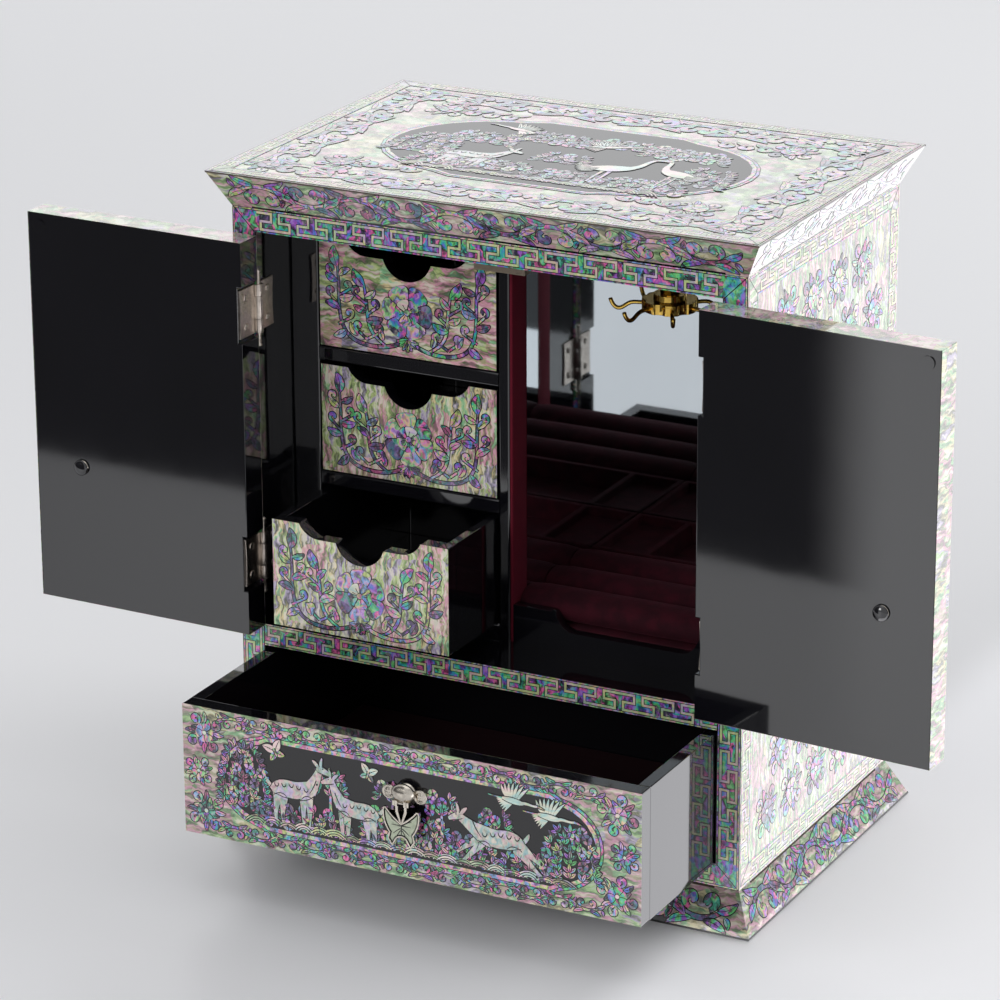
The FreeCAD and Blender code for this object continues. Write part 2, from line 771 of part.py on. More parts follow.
for label, x, y, z in wide_boards:
    parts.append(board(label, x, y, z))

# The doors, drawn shut in their hinge's frame and then swung open. Across is +1 for the
# left door, which reaches to +X from its hinge when shut, and -1 for the right door.
axis_x = inner - size("hinge_inset")
axis_y = front - size("hinge_proud")
gap = size("door_gap")
door_low = door_z + gap
door_high = ceiling_z - gap
door_near = gap - size("hinge_inset")
door_far = axis_x - gap / 2
door_faces = (size("hinge_proud"), size("hinge_proud") + size("door_thickness"))
upper_hinge_z = door_high - size("hinge_end")
lower_hinge_z = door_low + size("hinge_end")
bore = size("pin_radius") + size("pin_clearance")
knuckle = size("knuckle_radius")
leaf_high = size("hinge_height") / 2
middle_high = leaf_high - size("knuckle_top")
middle_low = middle_high - size("knuckle_middle")
pull_x = door_far - size("pull_edge")
pull_z = door_low + size("pull_level")


def span(first, second, across):
    """Two distances from the hinge, in rising order for either door."""
    return (first, second) if across > 0 else (-second, -first)


def door(label, across):
    owner = body(label)
    slab = rectangle(span(door_near, door_far, across), door_faces)
    pad(owner, label + "_slab", "XY", slab, (door_low, door_high))
    seat = size("hinge_inset")
    for name, level in (("upper", upper_hinge_z), ("lower", lower_hinge_z)):
        reach = size("mortise_height") / 2
        recess = rectangle(span(door_near, seat, across), door_faces)
        limits = (level - reach, level + reach)
        pocket(owner, "%s_%s_mortise" % (label, name), "XY", recess, limits)
    return owner


def leaf(label, side, level, spans, gaps):
    """A hinge leaf about its own axis: a waisted plate, with knuckles over some spans.

    Side is +1 where the plate lies on the axis's +X side.
    """
    near = size("hinge_inset") - size("leaf_thickness")
    plate_x = span(near, size("hinge_inset"), side)
    reach = size("leaf_reach")
    plate = board(label + "_plate", plate_x, (as_size(0.0), reach), (level - leaf_high, level + leaf_high))
    hollow = doc.addObject("Part::Cylinder", label + "_waist")
    hollow.Radius = bind(hollow, "Radius", size("waist_radius"))
    hollow.Height = 2.0 * size("hinge_inset").value
    bind(hollow, "Height", 2.0 * size("hinge_inset"))
    across_axis = FreeCAD.Rotation(FreeCAD.Vector(0, 1, 0), 90)
    hollow.Placement = FreeCAD.Placement(FreeCAD.Vector(0, 0, 0), across_axis)
    hollow_y = reach - size("leaf_waist") + size("waist_radius")
    place(hollow, -size("hinge_inset") if side < 0 else 0.0, hollow_y, level)
    clear = knuckle + size("knuckle_gap")
    tools = [hollow]
    for number, (low, high) in enumerate(gaps):
        name = "%s_gap_%d" % (label, number + 1)
        tools.append(rod(name, clear, level + low, level + high))
    blank = cut(label + "_blank", plate, joined(label + "_tools", tools))
    barrels = [blank]
    for number, (low, high) in enumerate(spans):
        name = "%s_knuckle_%d" % (label, number + 1)
        barrels.append(rod(name, knuckle, level + low, level + high))
    bored = rod(label + "_bore", bore, level - leaf_high, level + leaf_high)
    return cut(label, joined(label + "_leaf", barrels), bored)


space = size("knuckle_gap")
end_knuckles = ((middle_high + space, leaf_high), (-leaf_high, middle_low - space))
end_rooms = ((middle_high, leaf_high), (-leaf_high, middle_low))
middle_knuckle = ((middle_low, middle_high),)
middle_room = ((middle_low - space, middle_high + space),)


pin_reach = leaf_high + size("pin_proud")
frame_leaves = []
pins = []
for name, across, hinge_x, opened in (
    ("left", 1, -axis_x, -size("left_open")),
    ("right", -1, axis_x, size("right_open")),
):
    panel = door(name + "_door", across)
    swing(panel, opened, hinge_x, axis_y)
    parts.append(panel)
    door_leaves = []
    for where, level in (("upper", upper_hinge_z), ("lower", lower_hinge_z)):
        label = "%s_%s_hinge" % (name, where)
        door_leaf = leaf(label + "_door_leaf", across, level, middle_knuckle, end_rooms)
        door_leaves.append(door_leaf)
        frame_leaf = leaf(label + "_frame_leaf", -across, level, end_knuckles, middle_room)
        place(frame_leaf, hinge_x, axis_y, 0.0)
        frame_leaves.append(frame_leaf)
        pin_z = (level - pin_reach, level + pin_reach)
        pins.append(rod(label + "_pin", size("pin_radius"), *pin_z, hinge_x, axis_y))
    leaves = group(name + "_door_hinge_leaves", door_leaves)
    swing(leaves, opened, hinge_x, axis_y)
    parts.append(leaves)
    strike = body(name + "_strike_disc")
    strike_x = (door_far - size("strike_edge")) * float(across)
    disc = (strike_x, door_high - size("strike_drop"), size("strike_radius"))
    strike_faces = (door_faces[1], door_faces[1] + size("strike_thickness"))
    pad(strike, name + "_strike_plate", "XZ", None, strike_faces, disc)
    swing(strike, opened, hinge_x, axis_y)
    parts.append(strike)
parts.append(group("hinge_frame_leaves", frame_leaves))
parts.append(group("hinge_pins", pins))

# The double magnetic catch under the ceiling, behind the doors' meeting edges.
catch_y = front + size("door_thickness") + size("strike_thickness") + size("catch_gap")
catch_low = column_top_z - size("drawer_gap_top") + size("catch_room")
catch_z = (catch_low, ceiling_z)
catch_half = size("catch_width") / 2
housing_y = (catch_y + size("pole_proud"), catch_y + size("catch_depth"))
housing = board("catch_housing", (-catch_half, catch_half), housing_y, catch_z)
poles = []
margin = size("pole_margin")
pole_y = (catch_y, catch_y + size("pole_depth"))
pole_z = (catch_low + margin, ceiling_z - margin)
for name, sign in (("left", -1.0), ("right", 1.0)):
    middle = (catch_half - size("pole_width") / 2 - 2.0 * margin) * sign
    pole_x = (middle - size("pole_width") / 2, middle + size("pole_width") / 2)
    poles.append(board("catch_pole_" + name, pole_x, pole_y, pole_z))
parts.append(joined("magnetic_catch", [housing] + poles))

# The carousel: a spindle under the ceiling, a petalled plate that turns on it, and hooks.
carousel_x = (wall_x + wall_end) / 2
carousel_y = set_y + size("carousel_depth")
rim_low = -size("carousel_drop")
rim_high = rim_low + size("carousel_rim")
hub_top = rim_high + size("hub_height")
spin_gap = size("turning_gap")
spindle = size("spindle_radius")
stem = size("stem_radius")
flange = size("flange_radius")
mount = turned(
    "carousel_mount",
    [
        (0.0, rim_low - spin_gap - size("head_height")),
        (size("head_radius"), rim_low - spin_gap - size("head_height")),
        (size("head_radius"), rim_low - spin_gap),
        (spindle, rim_low - spin_gap),
        (spindle, hub_top + spin_gap),
        (stem, hub_top + spin_gap),
        (stem, -size("flange_thickness")),
        (flange, -size("flange_thickness")),
        (flange, 0.0),
        (0.0, 0.0),
    ],
)
place(mount, carousel_x, carousel_y, ceiling_z)
parts.append(mount)

turning_bore = spindle + size("pin_clearance")
plate_radius = size("carousel_radius")
rotor = turned(
    "carousel_plate",
    [
        (turning_bore, rim_low),
        (plate_radius, rim_low),
        (plate_radius, rim_high),
        (size("hub_radius"), rim_high),
        (size("hub_radius"), hub_top),
        (turning_bore, hub_top),
    ],
)


def ring_of(owner, label, feature):
    """Repeat a cut at every hook's step round the carousel."""
    axis = [item for item in owner.Origin.OriginFeatures if item.Role == "Z_Axis"][0]
    pattern = owner.newObject("PartDesign::PolarPattern", label)
    pattern.Originals = [feature]
    pattern.Axis = (axis, [""])
    pattern.Angle = 360
    pattern.Occurrences = int(bind(pattern, "Occurrences", size("hook_count")))
    owner.Tip = pattern


flute = size("flute_radius")
flute_reach = plate_radius + flute - size("flute_depth")
half_step = 180.0 / size("hook_count")
flute_disc = (flute_reach * cosine(half_step), flute_reach * sine(half_step), flute)
first_flute = pocket(rotor, "carousel_flute", "XY", None, (rim_low, rim_high), flute_disc)
ring_of(rotor, "carousel_flutes", first_flute)
swing(rotor, size("hook_first"), carousel_x, carousel_y, ceiling_z)
parts.append(rotor)

hook_z = rim_low + size("carousel_rim") / 2


def hook(label):
    """A bent wire: out from the plate, down into a trough, and up to its tip."""
    owner = body(label)
    bend = plate_radius + size("hook_straight")
    trough = bend + size("hook_fall")
    dip = size("hook_dip")
    path = sketch_on(owner, label + "_path", "XZ", 0.0)
    route = [
        (plate_radius, 0.0),
        (bend, 0.0),
        (trough, -dip),
        (trough + size("hook_tip"), size("hook_rise") - dip),
    ]
    outline(path, route, closed=False)
    section = sketch_on(owner, label + "_section", "YZ", plate_radius)
    circle(section, 0.0, 0.0, size("wire_radius"))
    item = owner.newObject("PartDesign::AdditivePipe", label + "_wire")
    item.Profile = section
    item.Spine = (path, ["Edge1", "Edge2", "Edge3"])
    item.Transition = "Right corner"
    return owner


hooks = []
count = size("hook_count")
for number in range(int(count.value)):
    wire_hook = hook("carousel_hook_%d" % (number + 1))
    angle = size("hook_first") + float(number) * 360.0 / count
    swing(wire_hook, angle, carousel_x, carousel_y, ceiling_z + hook_z)
    hooks.append(wire_hook)
parts.append(group("carousel_hooks", hooks))

# Pulls: a domed boss between two screw rosettes, and a butterfly that hangs from its pin.
# Their face is the XZ plane, with X to the right and -Y towards the hand.
lug_start = size("lug_start")
eye_end = lug_start - spin_gap
eye_start = eye_end - size("bail_width")
proud = size("pull_pin_proud")
drop = size("pull_pin_drop")


def both_sides(start, end):
    """Two limits along X, and the same on the other side."""
    return ((start, end), (-end, -start))


def butterfly(label):
    """A butterfly under a V-shaped bail. The origin is the middle of its pin."""
    owner = body(label)
    half_width = size("pull_width") / 2
    height = size("pull_height")
    half_thick = size("pull_thickness") / 2

    def at(across, down, *arc):
        return (half_width * across, -height * down) + arc

    wing = 3.0 * half_width
    side = 1.7 * half_width
    arch = half_width / 3
    wings = [
        at(0.0, 0.455, wing, 1),
        at(0.83, 0.13),
        at(0.96, 0.14),
        at(1.0, 0.2, side, -1),
        at(0.66, 0.69),
        at(0.74, 0.83),
        at(0.5, 1.0),
        at(0.29, 0.84, arch, 1),
        at(-0.29, 0.84),
        at(-0.5, 1.0),
        at(-0.74, 0.83),
        at(-0.66, 0.69, side, -1),
        at(-1.0, 0.2),
        at(-0.96, 0.14),
        at(-0.83, 0.13, wing, 1),
    ]
    pad(owner, label + "_wings", "XZ", wings, (-half_thick, half_thick))
    bend = -height * 0.2
    crotch = -height * 0.44
    width = size("bail_width")
    bail = [
        (-eye_end, 0.0),
        (-eye_end, bend),
        (0.0, crotch - 1.6 * width),
        (eye_end, bend),
        (eye_end, 0.0),
        (eye_start, 0.0),
        (eye_start, bend + width / 2),
        (0.0, crotch),
        (-eye_start, bend + width / 2),
        (-eye_start, 0.0),
    ]
    pad(owner, label + "_bail", "XZ", bail, (-width / 2, width / 2))
    eye = size("eye_half")
    for number, limits in enumerate(both_sides(eye_start, eye_end)):
        pad(owner, "%s_eye_%d" % (label, number + 1), "YZ", rectangle((-eye, eye), (-eye, eye)), limits)
    bored = (0.0, 0.0, size("pull_pin_radius") + size("pin_clearance"))
    pocket(owner, label + "_bore", "YZ", None, (-eye_end, eye_end), bored)
    return owner


def dome(radius, rise):
    """Half of a low boss's outline. A falling boss has a negative rise."""
    return [(0.0, 0.0), (radius, 0.0), (radius / 2, rise), (0.0, rise)]


def pull_mount(label):
    """The fixed part of a pull. The origin is the middle of its boss, on the face."""
    owner = body(label)
    reach = size("rosette_spacing") / 2
    turning(owner, label + "_boss", "XY", dome(size("boss_radius"), -size("boss_height")))
    bar = size("pull_bar_width") / 2
    bar_face = rectangle((-reach, reach), (-bar, bar))
    pad(owner, label + "_bar", "XZ", bar_face, (-size("pull_bar_height"), 0.0))
    for number, x in enumerate((-reach, reach)):
        name = "%s_rosette_%d" % (label, number + 1)
        rosette = (x, 0.0, size("rosette_radius"))
        pad(owner, name, "XZ", None, (-size("rosette_height"), 0.0), rosette)
    beyond = size("lug_end")
    lug_side = rectangle((-proud - beyond, 0.0), (-drop - beyond, beyond - drop))
    for number, limits in enumerate(both_sides(lug_start, lug_start + size("lug_thickness"))):
        pad(owner, "%s_lug_%d" % (label, number + 1), "YZ", lug_side, limits)
    pin = (-proud, -drop, size("pull_pin_radius"))
    pad(owner, label + "_pin", "YZ", None, (-lug_start, lug_start), pin)
    return owner


def inner_nut(label):
    """The domed nut of a door pull. The origin is its middle, on the door's inner face."""
    owner = body(label)
    turning(owner, label + "_dome", "XY", dome(size("nut_radius"), size("nut_height")))
    return owner


wide_middle = (wide_front_z[0] + wide_front_z[1]) / 2 + size("pull_rise")
mounted = pull_mount("wide_drawer_pull_mount")
place(mounted, 0.0, wide_face, wide_middle)
parts.append(mounted)
hanging = butterfly("wide_drawer_pull_butterfly")
place(hanging, 0.0, wide_face - proud, wide_middle - drop)
parts.append(hanging)

for name, across, hinge_x, opened in (
    ("left", 1.0, -axis_x, -size("left_open")),
    ("right", -1.0, axis_x, size("right_open")),
):
    label = name + "_door_pull"
    fixed = pull_mount(label + "_plate")
    nut = inner_nut(label + "_nut")
    pendant = butterfly(label + "_butterfly")
    for item, y, z in (
        (fixed, door_faces[0], pull_z),
        (nut, door_faces[1], pull_z),
        (pendant, door_faces[0] - proud, pull_z - drop),
    ):
        x = pull_x * across
        turned_x = hinge_x + x * cosine(opened) - y * sine(opened)
        turned_y = axis_y + x * sine(opened) + y * cosine(opened)
        swing(item, opened, turned_x, turned_y, z)
    parts.append(group(label + "_mount", [fixed, nut]))
    parts.append(pendant)

doc.recompute()

faults = [item.Name for item in doc.Objects if "Invalid" in item.State or "Error" in item.State]
if faults:
    raise RuntimeError("these objects did not compute: %s" % ", ".join(faults))
for item in parts:
    if item.Shape.isNull() or not item.Shape.isValid() or not item.Shape.Solids:
        raise RuntimeError("%s has no valid solid" % item.Label)

os.makedirs("parts", exist_ok=True)
for item in parts:
    item.Shape.exportStep("parts/%s.step" % item.Label)
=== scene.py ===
"""Looks of a lacquered jewellery chest: shell inlay, lacquer, velvet, mirror and metal over its solids."""

import json
import math
import random

import bmesh
import bpy
from mathutils import Matrix, Vector

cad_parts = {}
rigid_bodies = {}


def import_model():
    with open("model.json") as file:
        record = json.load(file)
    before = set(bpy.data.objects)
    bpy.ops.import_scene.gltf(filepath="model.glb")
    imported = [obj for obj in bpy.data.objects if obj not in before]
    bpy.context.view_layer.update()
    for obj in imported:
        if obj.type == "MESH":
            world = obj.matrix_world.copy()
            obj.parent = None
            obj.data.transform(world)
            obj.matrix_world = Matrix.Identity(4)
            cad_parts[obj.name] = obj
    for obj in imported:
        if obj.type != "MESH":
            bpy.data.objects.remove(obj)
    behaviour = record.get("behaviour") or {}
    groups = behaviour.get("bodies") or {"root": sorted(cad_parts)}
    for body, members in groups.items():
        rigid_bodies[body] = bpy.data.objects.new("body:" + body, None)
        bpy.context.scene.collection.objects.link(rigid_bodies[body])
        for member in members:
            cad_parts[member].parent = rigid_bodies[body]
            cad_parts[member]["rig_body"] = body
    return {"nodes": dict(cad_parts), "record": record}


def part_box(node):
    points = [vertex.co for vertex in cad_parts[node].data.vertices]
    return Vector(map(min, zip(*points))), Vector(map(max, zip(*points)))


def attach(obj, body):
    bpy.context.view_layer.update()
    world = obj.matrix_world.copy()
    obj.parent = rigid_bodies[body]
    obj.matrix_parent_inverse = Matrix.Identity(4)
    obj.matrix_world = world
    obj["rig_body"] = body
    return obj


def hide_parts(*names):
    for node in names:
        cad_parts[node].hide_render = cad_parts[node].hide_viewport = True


bl_info = {
    "name": "Inlaid jewellery chest",
    "version": (1, 0, 0),
    "blender": (4, 5, 0),
    "location": "3D View > Sidebar > Chest",
    "description": "Dresses the solids of a jewellery chest in shell inlay, lacquer, velvet and metal",
    "category": "Object",
}

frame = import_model()
NODES = frame["nodes"]
BODY = {name: node["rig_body"] for name, node in NODES.items()}
JOINTS = {joint["name"]: joint for joint in frame["record"]["behaviour"]["joints"]}
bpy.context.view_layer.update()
MM = 0.001
UP = Vector((0, 0, 1))
SHELL_SLOT = "pearl_on_lacquer"

# Points nearer to each other than this are one point.
SAME = 1e-6

# How nearly two directions agree, as cosines: on one side, and in one plane. Parts of one flat face
# differ by less than the last value in depth.
FACING = 0.7
FLAT = 0.999
SAME_DEPTH = 0.05 * MM


# Settings that a user would change.


def length(name, text, default, low=0.0, high=0.5):
    """A setting in metres."""
    return bpy.props.FloatProperty(
        name=name, description=text, default=default, min=low, max=high, unit="LENGTH", precision=5
    )


def colour(name, text, code):
    """A setting that starts as a hexadecimal screen colour."""
    return bpy.props.FloatVectorProperty(
        name=name, description=text, default=tone(code), size=4, min=0.0, max=1.0, subtype="COLOR"
    )


def tone(code):
    """A linear colour with alpha from a hexadecimal screen colour."""
    parts = [int(code[i : i + 2], 16) / 255 for i in (0, 2, 4)]
    return tuple(p / 12.92 if p < 0.04045 else ((p + 0.055) / 1.055) ** 2.4 for p in parts) + (1.0,)


class ChestSizes(bpy.types.PropertyGroup):
    veneer: length("Veneer", "Thickness of the shell veneer on a face", 0.00012)
    leaf: length("Leaf", "Step between the layers of the inlay", 0.00002)
    ink: length("Ink line", "Width of the dark line round a cut shell piece", 0.00048)
    fret_pitch: length("Fret pitch", "Length of one turn of the key fret", 0.0212)
    fret_line: length("Fret line", "Width of the key fret's pale line", 0.0013)
    roll_crown: length("Roll crown", "How far the middle of a ring roll stands fuller than its ends", 0.0006)
    edge: length("Eased edge", "Width of the eased edges of lacquered boards", 0.0005)
    rod: length("Hook rod", "Radius of the carousel's hooks", 0.0011)


class ChestColours(bpy.types.PropertyGroup):
    lacquer: colour("Lacquer", "Black lacquer", "0a0a0d")
    # The velvet colour is the cloth with painted shade in it, as it looks inside the chest.
    velvet: colour("Velvet", "Burgundy velvet", "2c0511")
    brass: colour("Brass", "Polished brass of the carousel", "e8c060")
    nickel: colour("Nickel", "Nickel of the hinges", "d8cdc2")
    silver: colour("Old silver", "Antique silver of the pulls", "e2dacd")
    bronze: colour("Bronze", "Casing of the magnetic catch", "8d8173")


# Materials.


class Value:
    """A node's socket that takes part in Python sums."""

    def __init__(self, paint, socket):
        self.paint = paint
        self.socket = socket

    def sum(self, operation, *terms):
        return self.paint.add("ShaderNodeMath", {"operation": operation}, dict(enumerate(terms)))

    def __add__(self, other):
        return self.sum("ADD", self, other)

    def __sub__(self, other):
        return self.sum("SUBTRACT", self, other)

    def __rsub__(self, other):
        return self.sum("SUBTRACT", other, self)

    def __mul__(self, other):
        return self.sum("MULTIPLY", self, other)

    def fraction(self):
        return self.sum("FRACT", self)

    def above(self, low, high):
        """0 below low, 1 above high, smooth between."""
        sockets = {"Value": self, "From Min": low, "From Max": high}
        return self.paint.add("ShaderNodeMapRange", {"interpolation_type": "SMOOTHSTEP"}, sockets)

    __radd__ = __add__
    __rmul__ = __mul__


class Paint:
    """A material that is written as sums on the piece's own coordinates, in millimetres."""

    def __init__(self, name):
        self.material = bpy.data.materials.new(name)
        self.material.use_nodes = True
        self.tree = self.material.node_tree
        self.tree.nodes.clear()
        here = self.add("ShaderNodeTexCoord", output="Object")
        self.place = self.vector("SCALE", here, scale=1 / MM)

    def add(self, kind, settings=None, sockets=None, output=0):
        """A node with its settings, and its sockets joined to values or set to numbers."""
        node = self.tree.nodes.new(kind)
        for key, setting in (settings or {}).items():
            if key == "stops":
                self.spread(node.color_ramp.elements, setting)
            else:
                setattr(node, key, setting)
        for key, given in (sockets or {}).items():
            if isinstance(given, Value):
                self.tree.links.new(given.socket, node.inputs[key])
            else:
                node.inputs[key].default_value = given
        return Value(self, node.outputs[output]) if node.outputs else None

    def spread(self, elements, shades):
        """Colours at even steps along a ramp."""
        while len(elements) < len(shades):
            elements.new(1.0)
        for number, (element, shade) in enumerate(zip(elements, shades)):
            element.position = number / (len(shades) - 1)
            element.color = shade

    def vector(self, operation, first, second=(0.0, 0.0, 0.0), scale=1.0):
        sockets = {0: first, 1: second, 3: scale}
        return self.add("ShaderNodeVectorMath", {"operation": operation}, sockets)

    def noise(self, per_mm, detail=2.0, stretch=(1.0, 1.0, 1.0), place=None, output=0):
        """Soft noise of so many spots per mm. A lower stretch on an axis makes the spots longer there."""
        place = self.vector("MULTIPLY", place or self.place, stretch)
        sockets = {"Vector": place, "Scale": per_mm, "Detail": detail}
        return self.add("ShaderNodeTexNoise", {}, sockets, output)

    def mix(self, factor, first, second):
        return self.add("ShaderNodeMix", {"data_type": "RGBA"}, {0: factor, 6: first, 7: second}, 2)

    def ramped(self, factor, codes):
        """The colours of a row of codes one after another, and then the first again."""
        shades = [tone(code) for code in codes.split()]
        return self.add("ShaderNodeValToRGB", {"stops": shades + shades[:1]}, {"Fac": factor})

    def bump(self, height, strength, depth):
        return self.add("ShaderNodeBump", {}, {"Height": height, "Strength": strength, "Distance": depth})

    def finish(self, **sockets):
        """The material, with the surface's sockets by name."""
        named = {key.replace("_", " "): given for key, given in sockets.items()}
        surface = self.add("ShaderNodeBsdfPrincipled", {}, named, "BSDF")
        self.add("ShaderNodeOutputMaterial", {}, {"Surface": surface}, None)
        return self.material


def shell(name, codes, streak, flow, turn, shade, shine, cell=0.06):
    """Abalone shell under clear lacquer. Its colours flow along growth lines with dark and bright bands.

    A cell is a piece of shell with a hue of its own, and flow is how fast the hues follow, both per mm.
    """
    paint = Paint(name)
    warp = paint.noise(0.14, 2.0, output="Color")
    place = paint.vector("ADD", paint.place, paint.vector("SCALE", warp, scale=6.0))
    piece = paint.add("ShaderNodeTexVoronoi", {}, {"Vector": place, "Scale": cell}, "Color")
    own = paint.add("ShaderNodeSeparateColor", {}, {"Color": piece})
    waves = paint.noise(flow, 1.5, streak, place)
    growth = paint.noise(2.4, 2.0, streak, place)
    hue = (waves * 1.2 + own * 1.5 + growth * 0.2 + turn).fraction()
    tint = paint.ramped(hue, codes)
    band = paint.noise(0.7, 2.5, streak, place)
    dim = 1 - band.above(0.34, 0.5)
    tint = paint.mix(dim * shade, tint, tone("1f1e26"))
    bright = band.above(0.52, 0.66)
    tint = paint.mix(bright * shine, tint, tone("f0e8d8"))
    rough = 0.16 + paint.noise(0.8, 2.0) * 0.14
    uneven = paint.bump(growth + waves, 0.12, 0.00006)
    return paint.finish(
        Base_Color=tint, Metallic=0.2, Roughness=rough, Normal=uneven,
        Coat_Weight=1.0, Coat_Roughness=0.03, Coat_IOR=1.6,
    )


def lacquer(name, shade, ior=1.9, dust=0.05):
    """Polished lacquer with a slow mottle and specks of dust."""
    paint = Paint(name)
    mottle = paint.noise(0.02, 3.0)
    speck = paint.noise(1.9, 2.0).above(0.68, 0.75)
    tint = paint.mix(mottle * 0.5, shade, tone("15141a"))
    tint = paint.mix(speck * dust, tint, tone("6c6a70"))
    rough = 0.045 + paint.noise(0.05, 4.0) * 0.03
    ripple = paint.bump(paint.noise(0.03, 1.0), 0.15, 0.0002)
    return paint.finish(Base_Color=tint, Roughness=rough, IOR=ior, Normal=ripple)


def cloth_pile(name, shade, sheen=0.2, nap_code="5e0e24"):
    """Velvet with a brushed nap over its pile."""
    paint = Paint(name)
    nap = paint.noise(0.12, 3.0)
    pile = paint.noise(4.5, 2.0)
    tint = paint.mix(nap.above(0.35, 0.7) * 0.5, shade, tone(nap_code))
    tint = paint.mix(pile.above(0.35, 0.65) * 0.5, tint, tone("1c030a"))
    raised = paint.bump(pile + nap * 0.5, 0.5, 0.0003)
    return paint.finish(
        Base_Color=tint, Roughness=0.85 + pile * 0.1, Normal=raised, Sheen_Weight=sheen,
        Sheen_Roughness=0.4, Sheen_Tint=tone("b4506c"), Specular_IOR_Level=0.2,
    )


def metal(name, shade, rough, tarnish="3d342b", wear=0.3):
    """Brushed metal with stains of tarnish."""
    paint = Paint(name)
    brushed = paint.noise(1.5, 3.0, (1.0, 1.0, 6.0))
    stain = paint.noise(0.35, 4.0).above(0.45, 0.75)
    tint = paint.mix(stain * wear, shade, tone(tarnish))
    scratched = paint.bump(brushed, 0.08, 0.0001)
    return paint.finish(Base_Color=tint, Metallic=1.0, Roughness=rough + brushed * 0.12, Normal=scratched)


def looking_glass(name):
    """Silvered glass with a faint haze."""
    paint = Paint(name)
    haze = paint.noise(0.02, 3.0)
    tint = paint.mix(haze * 0.3, tone("eef2f4"), tone("d6dde2"))
    return paint.finish(Base_Color=tint, Metallic=1.0, Roughness=0.012 + haze * 0.02)


def make_finishes(colours):
    """Every material of the chest by its short name."""
    ground = "a0a480 d09cb0 6c8c64 a4c488 aca0bc 646a50 ccc298 80b484 80826a cc94ac"
    bright = "a8ac78 eca8bc 7c9a60 c8d890 b8a8cc 687050 ecd8a4 8ccc98 888868 e49cb8"
    iris = "4c4464 b060d0 5878d8 30b8ac 6cd474 44444f f870b0 8850b8 44c09c 34343f"
    opal = "f480b0 90dc88 5c5468 c490ec f4c498 4cc8a4 e864bc c4dc74 544e60 80b4ec"
    shade = "3c3b46 7c60a0 3c7c88 42404e a470bc 40a08c 34333c c06490"
    pale = "dcd8c0 f0c8d0 b8d8ac d4c0e4 f0e8cc acd4d0"
    hide = "c0c4b4 dcacb8 98c0a4 c4b0d8 dcd0bc 98c0c4"
    line = "c0d088 e0b4bc a0cc9c e0d898 c8a8d8 98bc94"
    upright, level, even = (0.7, 0.7, 0.12), (0.16, 0.16, 0.6), (0.6, 0.6, 0.4)

    # The numbers of a shell are its flow, turn, shade, shine and cell.
    return {
        "ink": lacquer("inlay_ink", tone("07070a"), 1.62, 0.0),
        "edge": lacquer("worn_edge", tone("4a3a2c"), 1.62, 0.2),
        "lacquer": lacquer("black_lacquer", colours.lacquer),
        "ground": shell("shell_ground", ground, level, 0.3, 0.0, 0.55, 0.5),
        "ground_tall": shell("shell_ground_upright", ground, upright, 0.3, 0.3, 0.55, 0.5),
        "bright": shell("shell_bright", bright, level, 0.34, 0.0, 0.6, 0.7),
        "bright_tall": shell("shell_bright_upright", bright, upright, 0.34, 0.3, 0.6, 0.7),
        "dusk": shell("shell_dusk", iris, even, 0.3, 0.5, 0.7, 0.2, 0.15),
        "shade": shell("shell_shade", shade, even, 0.3, 0.1, 0.3, 0.15, 0.2),
        "violet": shell("shell_violet", iris, even, 0.24, 0.0, 0.35, 0.3, 0.22),
        "green": shell("shell_green", iris, even, 0.24, 0.45, 0.35, 0.3, 0.22),
        "blue": shell("shell_blue", opal, even, 0.24, 0.7, 0.4, 0.3, 0.22),
        "rose": shell("shell_rose", opal, even, 0.24, 0.2, 0.35, 0.4, 0.22),
        "pale": shell("shell_pale", pale, level, 0.4, 0.0, 0.15, 0.5),
        "hide": shell("shell_hide", hide, even, 0.4, 0.3, 0.3, 0.35, 0.12),
        "line": shell("shell_line", line, even, 0.4, 0.0, 0.15, 0.3),
        # The velvet is one burgundy cloth in three copies that differ by painted light: the strips in the
        # opening lighter, the tray and ring rolls inside darker with painted shade, and the wide drawer's
        # lining darkest with painted shade.
        "velvet": cloth_pile("strip_velvet", tone("6a1024")),
        "velvet_painted_shade": cloth_pile("burgundy_velvet", colours.velvet, 0.12, "4a0a1c"),
        "lining_painted_shade": cloth_pile("lining_velvet", tone("140508"), 0.05, "1c070c"),
        "mirror": looking_glass("mirror_glass"),
        "nickel": metal("hinge_nickel", colours.nickel, 0.22),
        "bronze": metal("catch_bronze", colours.bronze, 0.4, "6a6156"),
        "brass": metal("carousel_brass", colours.brass, 0.08, "6b4c1c", 0.2),
        "silver": metal("antique_silver", colours.silver, 0.14, "5a5044", 0.3),
        "field": metal("butterfly_field", tone("ccd4be"), 0.4, "8c9a80", 0.4),
    }


FINISH = {}


# Making and placing pieces.


def sizes():
    """The lengths that a user can set."""
    return bpy.context.scene.chest_sizes


def put(name, form, body, slot, *finishes, smooth=False):
    """A piece made of a bmesh that is already in its place."""
    mesh = bpy.data.meshes.new(name)
    form.to_mesh(mesh)
    form.free()
    piece = bpy.data.objects.new(name, mesh)
    bpy.context.scene.collection.objects.link(piece)
    for finish in finishes:
        mesh.materials.append(FINISH[finish])
    if smooth:
        mesh.polygons.foreach_set("use_smooth", [True] * len(mesh.polygons))
    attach(piece, body)
    return piece


def placing(spot, up, outward):
    """From across, up and out to a place that faces outward."""
    place = Matrix((up.cross(outward), up, outward)).transposed().to_4x4()
    place.translation = spot
    return place


def copy_of(node):
    """The node's solid as a form with its points merged and its flat faces whole."""
    form = bmesh.new()
    form.from_mesh(NODES[node].data)
    bmesh.ops.remove_doubles(form, verts=form.verts, dist=SAME)
    bmesh.ops.dissolve_limit(form, angle_limit=0.02, verts=form.verts, edges=form.edges)
    return form


def new_curve(name):
    """An empty curve in space."""
    line = bpy.data.curves.new(name, "CURVE")
    line.dimensions = "3D"
    line.resolution_u = 4
    return line


